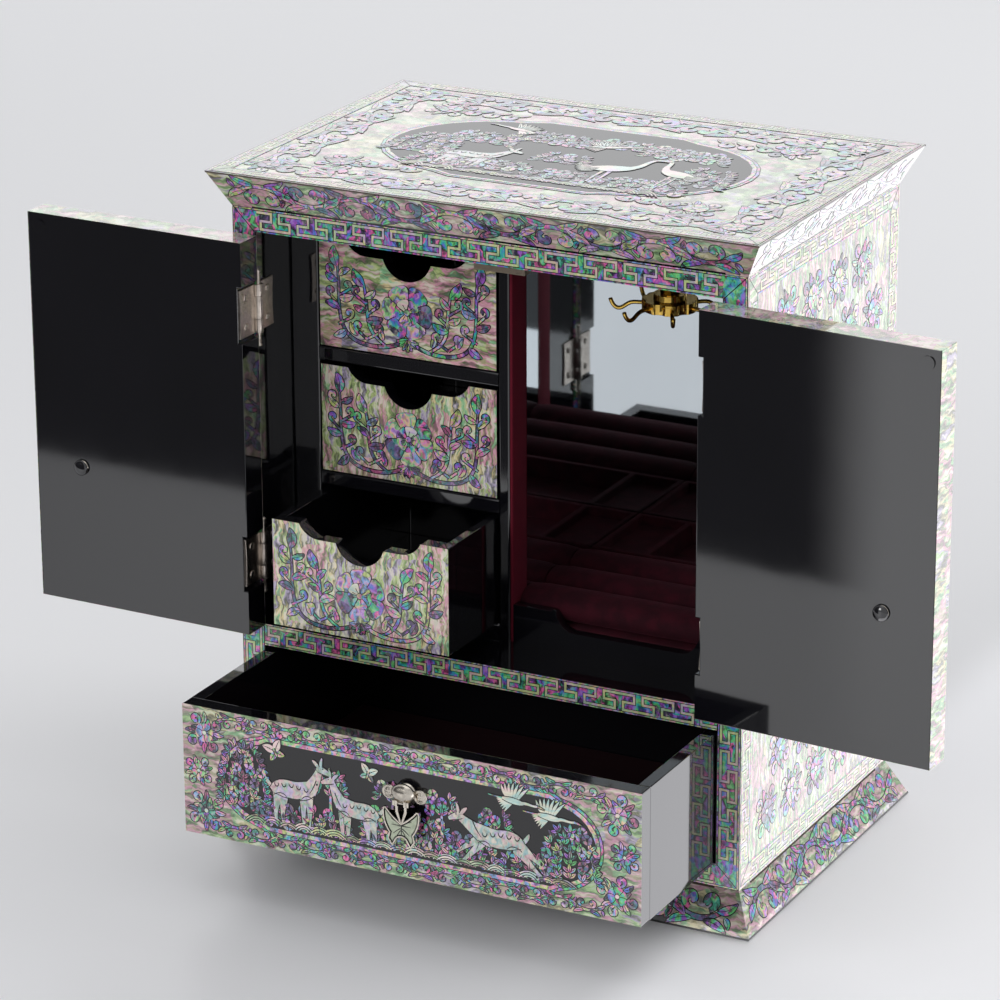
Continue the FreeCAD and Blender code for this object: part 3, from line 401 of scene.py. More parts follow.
def stroke(line, points, smooth=True, closed=False):
    """A new spline on a curve: a soft one near its points, or a straight one through them."""
    spline = line.splines.new("NURBS" if smooth else "POLY")
    spline.points.add(len(points) - 1)
    for point, place in zip(spline.points, points):
        point.co = (*place, 1.0)
    if smooth:
        spline.order_u = 4
        spline.use_endpoint_u = not closed
    spline.use_cyclic_u = closed
    return spline


def meshed(line):
    """The mesh of a curve, which is used up."""
    holder = bpy.data.objects.new(line.name, line)
    mesh = bpy.data.meshes.new_from_object(holder)
    bpy.data.objects.remove(holder)
    bpy.data.curves.remove(line)
    return mesh


class Face:
    """The flat face of a node on its outward side: its middle, its two directions and its size in mm."""

    def __init__(self, node, outward):
        self.node = node
        mesh = NODES[node].data
        side = [p for p in mesh.polygons if p.normal.dot(Vector(outward)) > FACING]
        self.normal = max(side, key=lambda p: p.area).normal.copy()
        flat = [p for p in side if p.normal.dot(self.normal) > FLAT]
        depth = max(p.center.dot(self.normal) for p in flat)
        self.keep = {p.index for p in flat if p.center.dot(self.normal) > depth - SAME_DEPTH}
        upright = Vector((0, 1, 0)) if abs(self.normal.z) > 0.9 else UP
        self.up = (upright - self.normal * upright.dot(self.normal)).normalized()
        self.across = self.up.cross(self.normal)
        corners = [mesh.vertices[v].co for i in self.keep for v in mesh.polygons[i].vertices]
        spans = [[c.dot(axis) for c in corners] for axis in (self.across, self.up)]
        middle = [(min(span) + max(span)) / 2 for span in spans]
        self.width, self.height = [(max(span) - min(span)) / MM for span in spans]
        self.centre = self.across * middle[0] + self.up * middle[1] + self.normal * depth

    def placing(self, lift):
        """From millimetres across, up and out of the face to its place."""
        return placing(self.centre + self.normal * lift, self.up, self.normal) @ Matrix.Scale(MM, 4)

    def veneer(self, name, finish, inset):
        """A thin sheet of shell with the outline of the face, set in from its edges in mm."""
        form = bmesh.new()
        form.from_mesh(NODES[self.node].data)
        form.faces.ensure_lookup_table()
        spare = [f for f in form.faces if f.index not in self.keep]
        bmesh.ops.delete(form, geom=spare, context="FACES")
        bmesh.ops.remove_doubles(form, verts=form.verts, dist=SAME)
        bmesh.ops.dissolve_limit(form, angle_limit=0.01, verts=form.verts, edges=form.edges)
        rim = bmesh.ops.inset_region(form, faces=form.faces[:], thickness=inset * MM, use_even_offset=True)
        bmesh.ops.delete(form, geom=rim["faces"], context="FACES")
        grown = bmesh.ops.extrude_face_region(form, geom=form.faces[:])
        lifted = [v for v in grown["geom"] if isinstance(v, bmesh.types.BMVert)]
        bmesh.ops.translate(form, verts=lifted, vec=self.normal * sizes().veneer)
        bmesh.ops.recalc_face_normals(form, faces=form.faces[:])
        put(name, form, BODY[self.node], SHELL_SLOT, finish)


class Inlay:
    """A flat design of cut ribbons, in millimetres across and up from the middle of a face."""

    def __init__(self):
        self.cuts = {}
        self.ink = sizes().ink / MM

    def cut(self, finish, level, points, widths, smooth=True, closed=False, edge=True):
        """A ribbon of the given half widths. An edged one lies on a wider ribbon of ink."""
        self.cuts.setdefault((level * 2 + 1, finish), []).append((points, widths, smooth, closed))
        if edge:
            wider = [w + self.ink for w in widths]
            self.cuts.setdefault((level * 2, "ink"), []).append((points, wider, smooth, closed))

    def band(self, finish, level, points, half, closed=False):
        """A plain strip of one half width."""
        self.cut(finish, level, points, [half] * len(points), smooth=False, closed=closed, edge=False)

    def curve(self, name, strokes, low):
        """Ribbons as one curve. Each lies at its own height, so that none coincide."""
        line = new_curve(name)
        line.twist_mode = "Z_UP"
        line.extrude = 1.0
        for number, (points, widths, smooth, closed) in enumerate(strokes):
            height = low + number % 12 * 0.0012
            spline = stroke(line, [(x, y, height) for x, y in points], smooth, closed)
            for point, width in zip(spline.points, widths):
                point.radius = max(width, 0.01)
                point.tilt = math.pi / 2
        return line

    def lay(self, name, face, slot=SHELL_SLOT, lift=None, body=None):
        """The design as one piece on a face, by default on its veneer."""
        finishes = sorted({finish for _, finish in self.cuts})
        form = bmesh.new()
        for (level, finish), strokes in sorted(self.cuts.items()):
            low = (level + 1) * sizes().leaf / MM + finishes.index(finish) * 0.0001
            flat = meshed(self.curve(name, strokes, low))
            for polygon in flat.polygons:
                polygon.material_index = finishes.index(finish)
            form.from_mesh(flat)
            bpy.data.meshes.remove(flat)
        form.normal_update()
        bmesh.ops.reverse_faces(form, faces=[f for f in form.faces if f.normal.z < 0])
        lift = sizes().veneer if lift is None else lift
        bmesh.ops.transform(form, matrix=face.placing(lift), verts=form.verts)
        put(name, form, body or BODY[face.node], slot, *finishes)


# Motifs. Each is drawn about its own origin and placed with a pen.


def ray(degrees):
    """The direction at an angle, as a vector of length one."""
    angle = math.radians(degrees)
    return Vector((math.cos(angle), math.sin(angle)))


class Pen:
    """Draws on an inlay from a place that is moved, turned, scaled and maybe mirrored."""

    def __init__(self, inlay, x=0.0, y=0.0, turn=0.0, scale=1.0, flip=1, level=1):
        self.inlay = inlay
        self.x = x
        self.y = y
        self.turn = turn
        self.scale = scale
        self.flip = flip
        self.level = level

    def at(self, x, y):
        """Where a point of this pen's own lies on the face."""
        angle = math.radians(self.turn)
        x = x * self.scale * self.flip
        y = y * self.scale
        return (
            self.x + x * math.cos(angle) - y * math.sin(angle),
            self.y + x * math.sin(angle) + y * math.cos(angle),
        )

    def on(self, x, y, turn=0.0, scale=1.0, flip=1, rise=0):
        """A pen at a place of this one's own."""
        px, py = self.at(x, y)
        turned = self.turn + turn * self.flip
        return Pen(self.inlay, px, py, turned, self.scale * scale, self.flip * flip, self.level + rise)

    def line(self, finish, points, widths, rise=0, **how):
        """A ribbon through this pen's own points, some levels above its own."""
        placed = [self.at(x, y) for x, y in points]
        sized = [w * self.scale for w in widths]
        self.inlay.cut(finish, self.level + rise, placed, sized, **how)

    def engrave(self, points, widths, rise=0):
        """A dark line without an outline of its own."""
        self.line("ink", points, widths, rise, edge=False)

    def dot(self, finish, x, y, radius, rise=0, edge=True):
        """A round spot."""
        steps = [-1.0, -0.87, -0.5, 0.0, 0.5, 0.87, 1.0]
        points = [(x + radius * s, y) for s in steps]
        widths = [radius * math.sqrt(1 - s * s) for s in steps]
        self.line(finish, points, widths, rise, smooth=False, edge=edge)

    def leaf(self, finish, x, y, turn, long, wide, bend=0.2, rise=0):
        """A pointed leaf that bends to the left of its way. A wide one has a vein."""
        along = ray(turn)
        aside = Vector((-along.y, along.x)) * bend
        sways = ((0.0, 0.0), (0.3, 0.6), (0.65, 0.8), (1.0, 0.0))
        points = [tuple(Vector((x, y)) + (along * share + aside * sway) * long) for share, sway in sways]
        self.line(finish, points, [0.1 * wide, wide, 0.8 * wide, 0.0], rise)
        if wide * self.scale > 1.2:
            self.engrave(points, [0.1, 0.2, 0.14, 0.04], rise + 1)

    def curl(self, finish, x, y, radius, start, turns=0.8, way=1, width=0.5, rise=0):
        """A comma-like scroll about a point that winds in and ends in a bead."""
        points, widths = [], []
        for step in range(8):
            share = step / 7
            reach = ray(start + way * share * turns * 360) * radius * (1 - 0.62 * share)
            points.append((x + reach.x, y + reach.y))
            widths.append(width * (0.2 + math.sin(math.pi * (0.1 + 0.6 * share))))
        self.line(finish, points, widths, rise)
        self.dot(finish, *points[-1], radius * 0.3, rise)

    def flower(self, finishes, heart, x, y, radius, turn=0.0, rise=1, fill=1.0):
        """Round petals about a heart, one for each finish."""
        petals = len(finishes)
        wide = radius * math.pi / petals * fill
        for number, finish in enumerate(finishes):
            along = ray(turn + 360 * number / petals) * radius
            reach = [tuple(Vector((x, y)) + along * share) for share in (0.1, 0.45, 0.8, 1.06, 1.1)]
            self.line(finish, reach, [w * wide for w in (0.15, 0.6, 1.15, 0.95, 0.0)], rise + number % 2)
        self.dot(heart, x, y, radius * 0.24, rise + 2)


SHELLS = ("violet", "green", "blue", "rose", "shade", "green")

# A vine's stem in shares of its half wave and height, the stem's half widths, and its leaves by
# place, way, length, half width and bend.
VINE_ARCH = ((0, 0), (0.25, 0.2), (0.5, 0.27), (0.75, 0.2), (1, 0))
VINE_STEM = (0.03, 0.06, 0.07, 0.06, 0.03)
VINE_LEAVES = (
    (0.12, 0.28, 20, 0.66, 0.14, -0.2),
    (0.36, 0.02, -30, 0.56, 0.15, 0.25),
    (0.52, 0.14, 62, 0.3, 0.1, -0.25),
)


def vine(pen, long, tall, seed, stretch=2.8):
    """A border of a waving stem, with scrolls and long leaves in its hollows."""
    pick = random.Random(seed)
    waves = max(1, round(long / (stretch * tall)))
    half = long / waves / 2
    for part in range(waves * 2):
        start = part * half - long / 2
        side = 1 if part % 2 == 0 else -1
        arch = [(start + half * share, side * rise * tall) for share, rise in VINE_ARCH]
        pen.line(pick.choice(SHELLS), arch, [w * tall for w in VINE_STEM])
        middle = start + half / 2
        for way in (-1, 1):
            hue, x, y = pick.choice(SHELLS), middle + way * 0.2 * half, -side * 0.16 * tall
            pen.curl(hue, x, y, 0.2 * tall, 90 * side, 0.8, -side * way, 0.09 * tall, 1)
            ahead = 0 if way > 0 else 180
            lean = way * side
            for x, y, turn, long_share, wide, bend in VINE_LEAVES:
                root = (middle + way * x * half, side * y * tall)
                turned = ahead + lean * turn
                pen.leaf(pick.choice(SHELLS), *root, turned, long_share * tall, wide * tall, bend * lean, 1)


def bloom(pen, radius, seed):
    """An open flower with a ring of scrolls and leaves round it."""
    pick = random.Random(seed)
    pen.flower([pick.choice(SHELLS)] * 6, "pale", 0.0, 0.0, radius, pick.uniform(0, 60), 3)
    for number in range(4):
        spot = pen.on(0.0, 0.0, 45 + 90 * number)
        spot.curl(pick.choice(SHELLS), 1.75 * radius, 0.35 * radius, 0.6 * radius, 200, 0.9, 1, 0.2 * radius)
        spot.leaf(pick.choice(SHELLS), radius, -0.3 * radius, -30, 1.4 * radius, 0.36 * radius, -0.2)
        spot.leaf(pick.choice(SHELLS), 0.9 * radius, 0.2 * radius, 75, 1.1 * radius, 0.32 * radius, 0.25)


def arabesque(pen, wide, tall, spacing, seed):
    """Flowers with their scrolls in staggered rows, mirrored about the middle."""
    rows = max(1, round(tall / spacing))
    columns = max(1, round(wide / spacing))
    for row in range(rows):
        y = -tall / 2 + (row + 0.5) * tall / rows
        shift = 0.5 * (row % 2)
        for column in range(columns - row % 2):
            x = -wide / 2 + (column + 0.5 + shift) * wide / columns
            mirrored = 1 if x <= 0 else -1
            bloom(pen.on(x, y, 0.0, 1.0, mirrored), spacing * 0.2, seed + row * 31 + round(abs(x)))


def fret(inlay, first, last, deep):
    """A key fret from one point to another, across a band of the given depth."""
    start, end = Vector(first), Vector(last)
    span = (end - start).length
    along = (end - start) / span
    over = Vector((-along.y, along.x))
    count = max(1, round(span / (sizes().fret_pitch / MM)))
    pitch = span / count
    stem, bar, top = pitch * 0.108, pitch * 0.39, deep * 0.36
    half_key = [(-stem, -top), (-stem, 0), (-bar, 0), (-bar, top)]
    key = half_key + [(-x, y) for x, y in reversed(half_key)]
    points = [(0.0, -top)]
    points += [(pitch * (number + 0.5) + x, y) for number in range(count) for x, y in key]
    points.append((span, -top))
    placed = [tuple(start + along * x + over * y) for x, y in points]
    line = sizes().fret_line / MM / 2
    widths = [line] + [line * math.sqrt(2)] * (len(placed) - 2) + [line]
    inlay.cut("line", 1, placed, widths, smooth=False)


# The fine lines beside a fret: distance from its edge, finish at the outer and at the inner edge, half width.
FRET_LINES = ((0.35, "rose", "green", 0.35), (0.8, "ink", "ink", 0.14))


def fret_frame(inlay, half_wide, half_tall, deep, ground="dusk"):
    """A mitred frame of key fret whose outer edge has the given half sizes."""
    x, y = half_wide - deep / 2, half_tall - deep / 2
    corners = [(-x, -y), (x, -y), (x, y), (-x, y)]
    inlay.band(ground, 0, corners, deep / math.sqrt(2), closed=True)
    for number, corner in enumerate(corners):
        after = corners[(number + 1) % 4]
        step = Vector(after) - Vector(corner)
        pad = step.normalized() * deep * 0.62
        fret(inlay, Vector(corner) + pad, Vector(after) - pad, deep)
        reach = Vector([math.copysign(deep / 2, side) for side in corner])
        inlay.band("ink", 1, [tuple(Vector(corner) - reach), tuple(Vector(corner) + reach)], 0.22)
    for inward, outer, inner, line in FRET_LINES:
        for size, finish in ((inward, outer), (deep - inward, inner)):
            x, y = half_wide - size, half_tall - size
            edge = [(math.copysign(x, a), math.copysign(y, b)) for a, b in corners]
            inlay.band(finish, 1, edge, line * math.sqrt(2), closed=True)


def cartouche(pen, half_wide, half_tall, cusp=3.0):
    """A dark field with cusped round ends inside two bands of shell."""
    # How far each band reaches beyond the field, in mm, and its finish.
    bands = ((4.8, "ink"), (4.4, "green"), (3.0, "ink"), (2.6, "rose"), (0.4, "ink"))
    for number, (grow, finish) in enumerate(bands):
        reach, high = half_wide + grow, half_tall + grow
        end = high * 1.02
        points, widths = [(-reach, 0.0)], [0.05]
        for turn in (12, 25, 38, 50, 62, 74):
            angle = math.radians(turn)
            points.append((end * (1 - math.cos(angle)) - reach, 0.0))
            widths.append((high - cusp) * math.sin(angle))
        points += [(end * 0.86 - reach, 0.0), (end * 1.05 - reach, 0.0)]
        widths += [high - cusp, high]
        points += [(-x, y) for x, y in reversed(points)]
        widths += list(reversed(widths))
        pen.line(finish, points, widths, number - 4, smooth=False, edge=False)


# A deer's legs, each by its points and half widths, and the lines of its folds.
RUNNING_LEGS = (
    ([(5, 1.2), (8.5, -0.4), (12.5, -3.4)], [1.4, 0.7, 0.35]),
    ([(4.4, 0.6), (7.6, -2.8), (11, -5.8)], [1.4, 0.7, 0.35]),
    ([(-5.6, 0.8), (-9, -1.0), (-10.4, -3.4), (-13.6, -4.8)], [1.9, 1.0, 0.5, 0.35]),
    ([(-5, 0.2), (-8, -3.2), (-9.6, -5.2), (-12.2, -7.4)], [1.9, 1.0, 0.5, 0.35]),
)
STANDING_LEGS = (
    ([(4.6, 1), (5.2, -3.5), (4.6, -9)], [1.5, 0.7, 0.4]),
    ([(3.2, 0.5), (2.6, -3.5), (3.0, -8.6)], [1.5, 0.7, 0.4]),
    ([(-5.4, 1), (-5.2, -2.6), (-6.8, -4.8), (-6, -9.2)], [2.0, 1.1, 0.6, 0.4]),
    ([(-4, 0.5), (-3.2, -3), (-4.4, -5), (-3.8, -8.8)], [2.0, 1.1, 0.6, 0.4]),
)
DEER_FOLDS = (
    [(-7.0, -1.2), (-5.2, 0.6), (-3.0, 0.2), (-2.4, -1.2)],
    [(2.2, -0.9), (3.2, 1.0), (5.2, 0.8), (6.0, -0.2)],
    [(5.0, 1.6), (6.4, 3.6), (7.2, 6.0)],
    [(-2.2, -1.0), (0.2, -1.4), (2.0, -0.8)],
)


def deer(pen, running=False):
    """A spotted deer that faces across, with its body's middle at the origin."""
    for points, widths in RUNNING_LEGS if running else STANDING_LEGS:
        pen.line("hide", points, widths)
    pen.line("hide", [(-7.2, 1.2), (-8.8, 2.6), (-9.4, 4.2)], [0.4, 0.9, 0.1])
    pen.line("hide", [(-7.4, 0.4), (-5, 2.2), (0, 0.8), (4.4, 2.2), (6.8, 4.4)], [0.9, 3.0, 2.4, 3.0, 1.5], 1)
    neck = [(8.0, 4.4), (10.8, 6.6)] if running else [(7.0, 5.5), (8.2, 9.2)]
    pen.line("hide", [(4.8, 2.5)] + neck, [2.4, 1.5, 1.0], 1)
    head = pen.on(2.6, -2.6) if running else pen
    head.line("hide", [(7.4, 9.4), (9.0, 9.8), (10.4, 9.0), (11.8, 8.4)], [0.5, 1.3, 0.8, 0.4], 2)
    head.line("hide", [(8.0, 10.0), (7.0, 11.4), (6.0, 12.0)], [0.3, 0.8, 0.1], 2)
    head.line("hide", [(8.8, 10.2), (8.6, 11.8), (9.2, 13.2)], [0.3, 0.6, 0.1], 2)
    for number in range(5):
        x = -5.6 + 2.4 * number
        y = 2.9 - 0.25 * abs(number - 2)
        spot = [(x - 0.9, y + 0.5), (x - 0.7, y - 1.0), (x + 0.6, y - 0.9), (x + 0.5, y + 0.6)]
        pen.engrave(spot, [0.1, 0.2, 0.2, 0.06], 3)
    for fold in DEER_FOLDS:
        pen.engrave(fold, [0.06, 0.18, 0.16, 0.05][:len(fold)], 3)
    head.dot("ink", 9.4, 9.9, 0.2, 4, edge=False)


def crane(pen, standing=False):
    """A crane in flight, or on its long legs, that faces across."""
    if standing:
        pen.line("rose", [(-0.6, -1), (-1.0, -6), (-0.4, -11)], [0.4, 0.25, 0.25])
        pen.line("rose", [(0.8, -1), (1.4, -6), (1.2, -11)], [0.4, 0.25, 0.25])
        for number in range(6):
            pen.leaf("pale", -2.5, 0.6 - 0.3 * number, 172 + 9 * number, 6.5 - 0.4 * number, 0.8, 0.12, 1)
        pen.line("pale", [(-4.5, -0.4), (-1, 0.6), (2.4, 1.2), (4.6, 3.4)], [0.9, 3.2, 2.4, 0.9], 2)
        pen.line("pale", [(3.8, 2.8), (6.4, 5.6), (4.6, 8.8), (6.6, 11.4)], [1.1, 0.6, 0.5, 0.5], 2)
        pen.line("rose", [(6.2, 11.2), (7.2, 11.8), (10.6, 11.2)], [0.5, 0.6, 0.06], 3)
        return
    for number in range(7):
        pen.leaf("pale", 1.4 - 0.6 * number, 0.6, 62 + 11 * number, 7.6 - 0.35 * number, 0.75, 0.1)
        pen.leaf("pale", 0.2 - 0.5 * number, -0.3, -118 - 8 * number, 5.2 - 0.3 * number, 0.65, -0.1)
    pen.line("rose", [(-3, 0.1), (-6, -0.5), (-9.5, -0.8)], [0.3, 0.22, 0.12])
    pen.line("pale", [(-4, 0), (-1, 0.3), (2, 0.5), (4, 0.8)], [0.4, 1.3, 1.2, 0.5], 1)
    pen.line("pale", [(3.4, 0.7), (5.4, 1.9), (7.2, 1.0), (9.4, 2.0)], [0.6, 0.42, 0.38, 0.36], 1)
    pen.line("rose", [(9.2, 2.0), (10.2, 2.1), (12.4, 1.8)], [0.38, 0.34, 0.05], 2)


def moth(pen):
    """A moth with open wings and two feelers."""
    for side in (-1, 1):
        pen.leaf("pale", 0, 0, 90 - side * 48, 5.6, 2.2, 0.1 * side)
        pen.leaf("rose", 0, 0, 90 - side * 125, 4.2, 1.7, -0.1 * side)
        pen.line("pale", [(0, 0.8), (side * 0.7, 2.4), (side * 1.5, 3.4)], [0.12, 0.1, 0.08])
    pen.line("rose", [(0, -2), (0, 0), (0, 1.4)], [0.2, 0.5, 0.3], 1)


def thicket(pen, wide, tall, seed, trunk=0.0, bead=2.6):
    """A dome of fanned leaves and blossoms, on a stem where a trunk's height is given."""
    pick = random.Random(seed)
    if trunk:
        pen.line("rose", [(0.4, -trunk), (-0.5, -trunk / 2), (0.3, 0), (0, tall * 0.4)], [0.9, 0.7, 0.6, 0.3])
    rows = max(2, round(tall / (1.3 * bead)))
    for row in reversed(range(rows)):
        half = wide / 2 * math.sqrt(max(0.0, 1 - (row / rows) ** 2))
        count = max(1, round(half / bead * 0.8))
        for number in range(count + 1):
            x = 2 * half * number / count - half + pick.uniform(-0.5, 0.5)
            y = row * tall / rows + pick.uniform(-0.5, 0.5)
            hue = pick.choice(SHELLS)
            layer = (row + number) % 2 * 2
            if pick.random() < 0.3:
                pen.flower([hue] * 5, "ink", x, y, bead, pick.uniform(0, 72), layer, 0.9)
                continue
            lean = 90 - 50 * x / max(half, 1.0)
            for way in (-1, 0, 1):
                above = layer + 1 - abs(way)
                pen.leaf(hue, x, y - bead * 0.4, lean + 52 * way, bead * 1.8, bead * 0.5, 0.1 * way, above)


# A ridge's outline, in shares of its half width and of its height.
RIDGE = ((-1, 0), (-0.4, 0.9), (0.35, 1), (1, 0))


def bank(pen, wide, tall, seed):
    """Ground of overlapping rounded ridges."""
    pick = random.Random(seed)
    count = max(3, round(wide / 9))
    for number in range(count):
        x = -wide / 2 + (number + 0.5) * wide / count
        half = wide / count * pick.uniform(0.7, 1.0)
        peak = tall * pick.uniform(0.55, 1.0)
        finish = pick.choice(("pale", "line", "ground", "rose"))
        for ridge in range(3):
            low = 1 - 0.28 * ridge
            outline = [(x + half * across * low, peak * up * low) for across, up in RIDGE]
            pen.line(finish, outline, [0.2, 0.6, 0.6, 0.2], ridge % 2)


# The pieces.


SLOT_FINISH = {
    "pearl_on_lacquer": "lacquer", "black_lacquer": "lacquer", "burgundy_velvet": "velvet",
    "mirror_glass": "mirror", "nickel": "nickel", "steel_disc": "lacquer",
    "bronze_plastic": "bronze", "carousel_brass": "brass", "antique_silver": "silver",
}


def finish_solids():
    """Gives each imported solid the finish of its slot, and eased edges to the hard ones."""
    soft = ("velvet", "mirror")
    for node in NODES.values():
        slot = next(s for s in SLOT_FINISH if s in node.data.materials[0].name)
        finish = SLOT_FINISH[slot]
        node.data.materials.clear()
        node.data.materials.append(FINISH[finish])
        if finish in soft or node.name.startswith(("cap_", "plinth_")):
            continue
        weld = node.modifiers.new("weld", "WELD")
        weld.merge_threshold = SAME
        eased = node.modifiers.new("eased_edges", "BEVEL")
        eased.width = sizes().edge * (1.0 if finish == "lacquer" else 0.4)
        eased.segments = 2
        eased.limit_method = "ANGLE"
        eased.angle_limit = math.radians(40)


FRONT = (0, -1, 0)
BACK = (0, 1, 0)
LEFT = (-1, 0, 0)
RIGHT = (1, 0, 0)
TOP = (0, 0, 1)


def case_frame():
    """The fret on the case's front: two stiles, the top and bottom rails and the middle rail."""
    left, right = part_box("left_side_panel"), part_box("right_side_panel")
    rail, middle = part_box("bottom_board"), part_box("mid_board")
    face = Face("bottom_board", FRONT)
    face.centre = Vector((0.0, left[0].y, (left[0].z + left[1].z) / 2))
    half_wide = right[1].x / MM
    half_tall = (left[1].z - left[0].z) / 2 / MM
    deep = (rail[1].z - rail[0].z) / MM
    inlay = Inlay()
    fret_frame(inlay, half_wide - 0.5, half_tall - 0.3, deep + 0.3)
    y = ((middle[0].z + middle[1].z) / 2 - face.centre.z) / MM
    reach = right[0].x / MM
    tall = (middle[1].z - middle[0].z) / 2 / MM
    inlay.band("dusk", 0, [(-reach, y), (reach, y)], tall)
    fret(inlay, (-reach, y), (reach, y), deep)
    for side in (-1, 1):
        for inward, finish, _, line in FRET_LINES:
            edge = y + side * (tall - inward)
            inlay.band(finish, 1, [(-reach, edge), (reach, edge)], line)
    inlay.lay("case_front_fret", face, lift=0.0)


# How far a vine keeps from each end of a flared moulding, in mm.
FLARE_END = 16.0


def flare(node, outward, seed):
    """Shell with a vine on one side of a flared moulding."""
    face = Face(node, outward)
    face.veneer(node + "_veneer", "ground", 0.45)
    inlay = Inlay()
    vine(Pen(inlay), face.width - FLARE_END * 2, face.height * 0.92, seed)
    widest = 1 if node.startswith("cap") else -1
    for side, finish in ((1, "edge"), (-1, "ink")):
        rim = side * (face.height / 2 - 0.5)
        reach = face.width / 2 - (0 if side == widest else face.height)
        inlay.band(finish, 0, [(-reach, rim), (reach, rim)], 0.5)
    inlay.lay(node + "_vine", face)


def panel(node, outward, name, seed):
    """A panel of shell with a fret frame and flowers in its middle."""
    face = Face(node, outward)
    face.veneer(name + "_veneer", "ground_tall", 0.3)
    inlay = Inlay()
    fret_frame(inlay, face.width / 2 - 0.8, face.height / 2 - 0.8, 11.0, "ground")
    arabesque(Pen(inlay), face.width - 34, face.height - 34, 30.0, seed)
    inlay.lay(name + "_flowers", face)


# The lid's thickets by place, width and height, in mm from its middle.
LID_THICKETS = (
    (-78, -24, 30, 38), (-56, 6, 34, 22), (-30, -40, 46, 20), (-22, 20, 40, 20), (16, -42, 36, 18),
    (22, 26, 44, 16), (56, 20, 42, 20), (58, -42, 44, 20), (80, -22, 26, 34), (-56, -40, 30, 16),
    (0, -12, 24, 18),
)
QUARTERS = ((-1, -1), (-1, 1), (1, -1), (1, 1))

# The level of the lid's sheet of shell, under all its inlay, and the lift in metres that keeps the
# sheet clear of the solid.
LID_LEVEL = -4
LID_LIFT = 0.00014


def lid():
    """The top: a shell sheet over the whole rim, a vine border and a dark field with cranes."""
    face = Face("cap_front", TOP)
    low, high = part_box("cap_left")[0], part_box("cap_right")[1]
    front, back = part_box("cap_front")[0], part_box("cap_back")[1]
    face.centre = Vector(((low.x + high.x) / 2, (front.y + back.y) / 2, high.z))
    wide, deep = (high.x - low.x) / MM, (back.y - front.y) / MM
    inlay = Inlay()
    inlay.band("ground", LID_LEVEL, [(-wide / 2 + 0.5, 0), (wide / 2 - 0.5, 0)], deep / 2 - 0.5)
    fret_frame(inlay, wide / 2 - 1.5, deep / 2 - 1.5, 9.0, "ground")
    for turn, long, off in ((0, wide, deep), (180, wide, deep), (90, deep, wide), (270, deep, wide)):
        pen = Pen(inlay, turn=turn).on(0.0, -off / 2 + 24.0)
        vine(pen, long - 60, 25.0, 40 + turn, 2.2)
    for x, y in QUARTERS:
        bloom(Pen(inlay, x * (wide / 2 - 24), y * (deep / 2 - 24), 45), 5.5, 7 + x + y)
    for x, y in QUARTERS:
        corner = Pen(inlay, x * (wide / 2 - 55), y * (deep / 2 - 46), 0, 1.0, x)
        bloom(corner, 6.0, 17 + x + 2 * y)
        for number in range(3):
            corner.curl(SHELLS[number + y], -14 - 11 * number, -2.5 * y, 4.5, 90 * y, 0.9, y, 1.7, 1)
            corner.leaf(SHELLS[number + 1], -12 - 11 * number, 1.5 * y, 160, 12, 2.4, 0.25, 2)
    cartouche(Pen(inlay, level=4), wide / 2 - 56, deep / 2 - 50, 5.0)
    garden = Pen(inlay, level=6)
    for number, (x, y, across, high) in enumerate(LID_THICKETS):
        thicket(garden.on(x, y), across, high, 3 + number, bead=3.4)
    bank(garden.on(0, -50, rise=3), 140, 10, 8)
    crane(garden.on(30, -14, 0, 2.3, rise=3), True)
    crane(garden.on(66, -10, 0, 2.1, -1, 3), True)
    crane(garden.on(10, 24, 12, 1.9, rise=3))
    crane(garden.on(-46, 36, -6, 1.7, -1, 3))
    deer(garden.on(-46, -22, 0, 1.9, rise=3))
    inlay.lay("lid_inlay", face, lift=LID_LIFT)


def door_outside(node, name, seed):
    """A door's outer face: fret frame, flowers and a tall dark field."""
    face = Face(node, BACK)
    face.veneer(name + "_veneer", "ground_tall", 0.3)
    inlay = Inlay()
    fret_frame(inlay, face.width / 2 - 0.8, face.height / 2 - 0.8, 11.0)
    for side in (-1, 1):
        vine(Pen(inlay, y=side * (face.height / 2 - 22)), face.width - 30, 18.0, seed + side)
    for x in (-1, 1):
        vine(Pen(inlay, x * (face.width / 2 - 19), 0, 90), face.height - 62, 13.0, seed + 5 + x)
    upright = Pen(inlay, turn=90, level=4)
    cartouche(upright, face.height / 2 - 38, face.width / 2 - 32, 3.0)
    scene = Pen(inlay, level=6)
    crane(scene.on(-6, 46, 15, 1.5))
    crane(scene.on(8, 22, -8, 1.2, -1))
    deer(scene.on(-4, -30, 0, 1.6))
    thicket(scene.on(12, -6), 26, 18, seed + 2, 20)
    thicket(scene.on(-14, -54), 24, 10, seed + 3)
    bank(scene.on(0, -66), 44, 9, seed + 4)
    moth(scene.on(-14, 4, 10, 1.2))
    inlay.lay(name + "_inlay", face)
    free = LEFT if face.centre.x < 0 else RIGHT
    for label, outward in (("top", TOP), ("free", free), ("low", (0, 0, -1))):
        Face(node, outward).veneer("%s_%s_edge" % (name, label), "ground", 0.5)


# The wide drawer's thickets by place, width, height and trunk, in mm from its front's middle.
WIDE_THICKETS = (
    (-95, -14, 26, 36, 0), (-72, -20, 30, 12, 0), (-46, -20, 22, 14, 0), (-44, 2, 15, 14, 12),
    (-12, -18, 24, 20, 0), (-8, 6, 16, 10, 12), (12, -19, 26, 20, 0), (20, 4, 14, 12, 14),
    (36, -20, 26, 16, 0), (50, 0, 14, 12, 12), (70, -20, 30, 14, 0), (92, -16, 28, 28, 0),
)


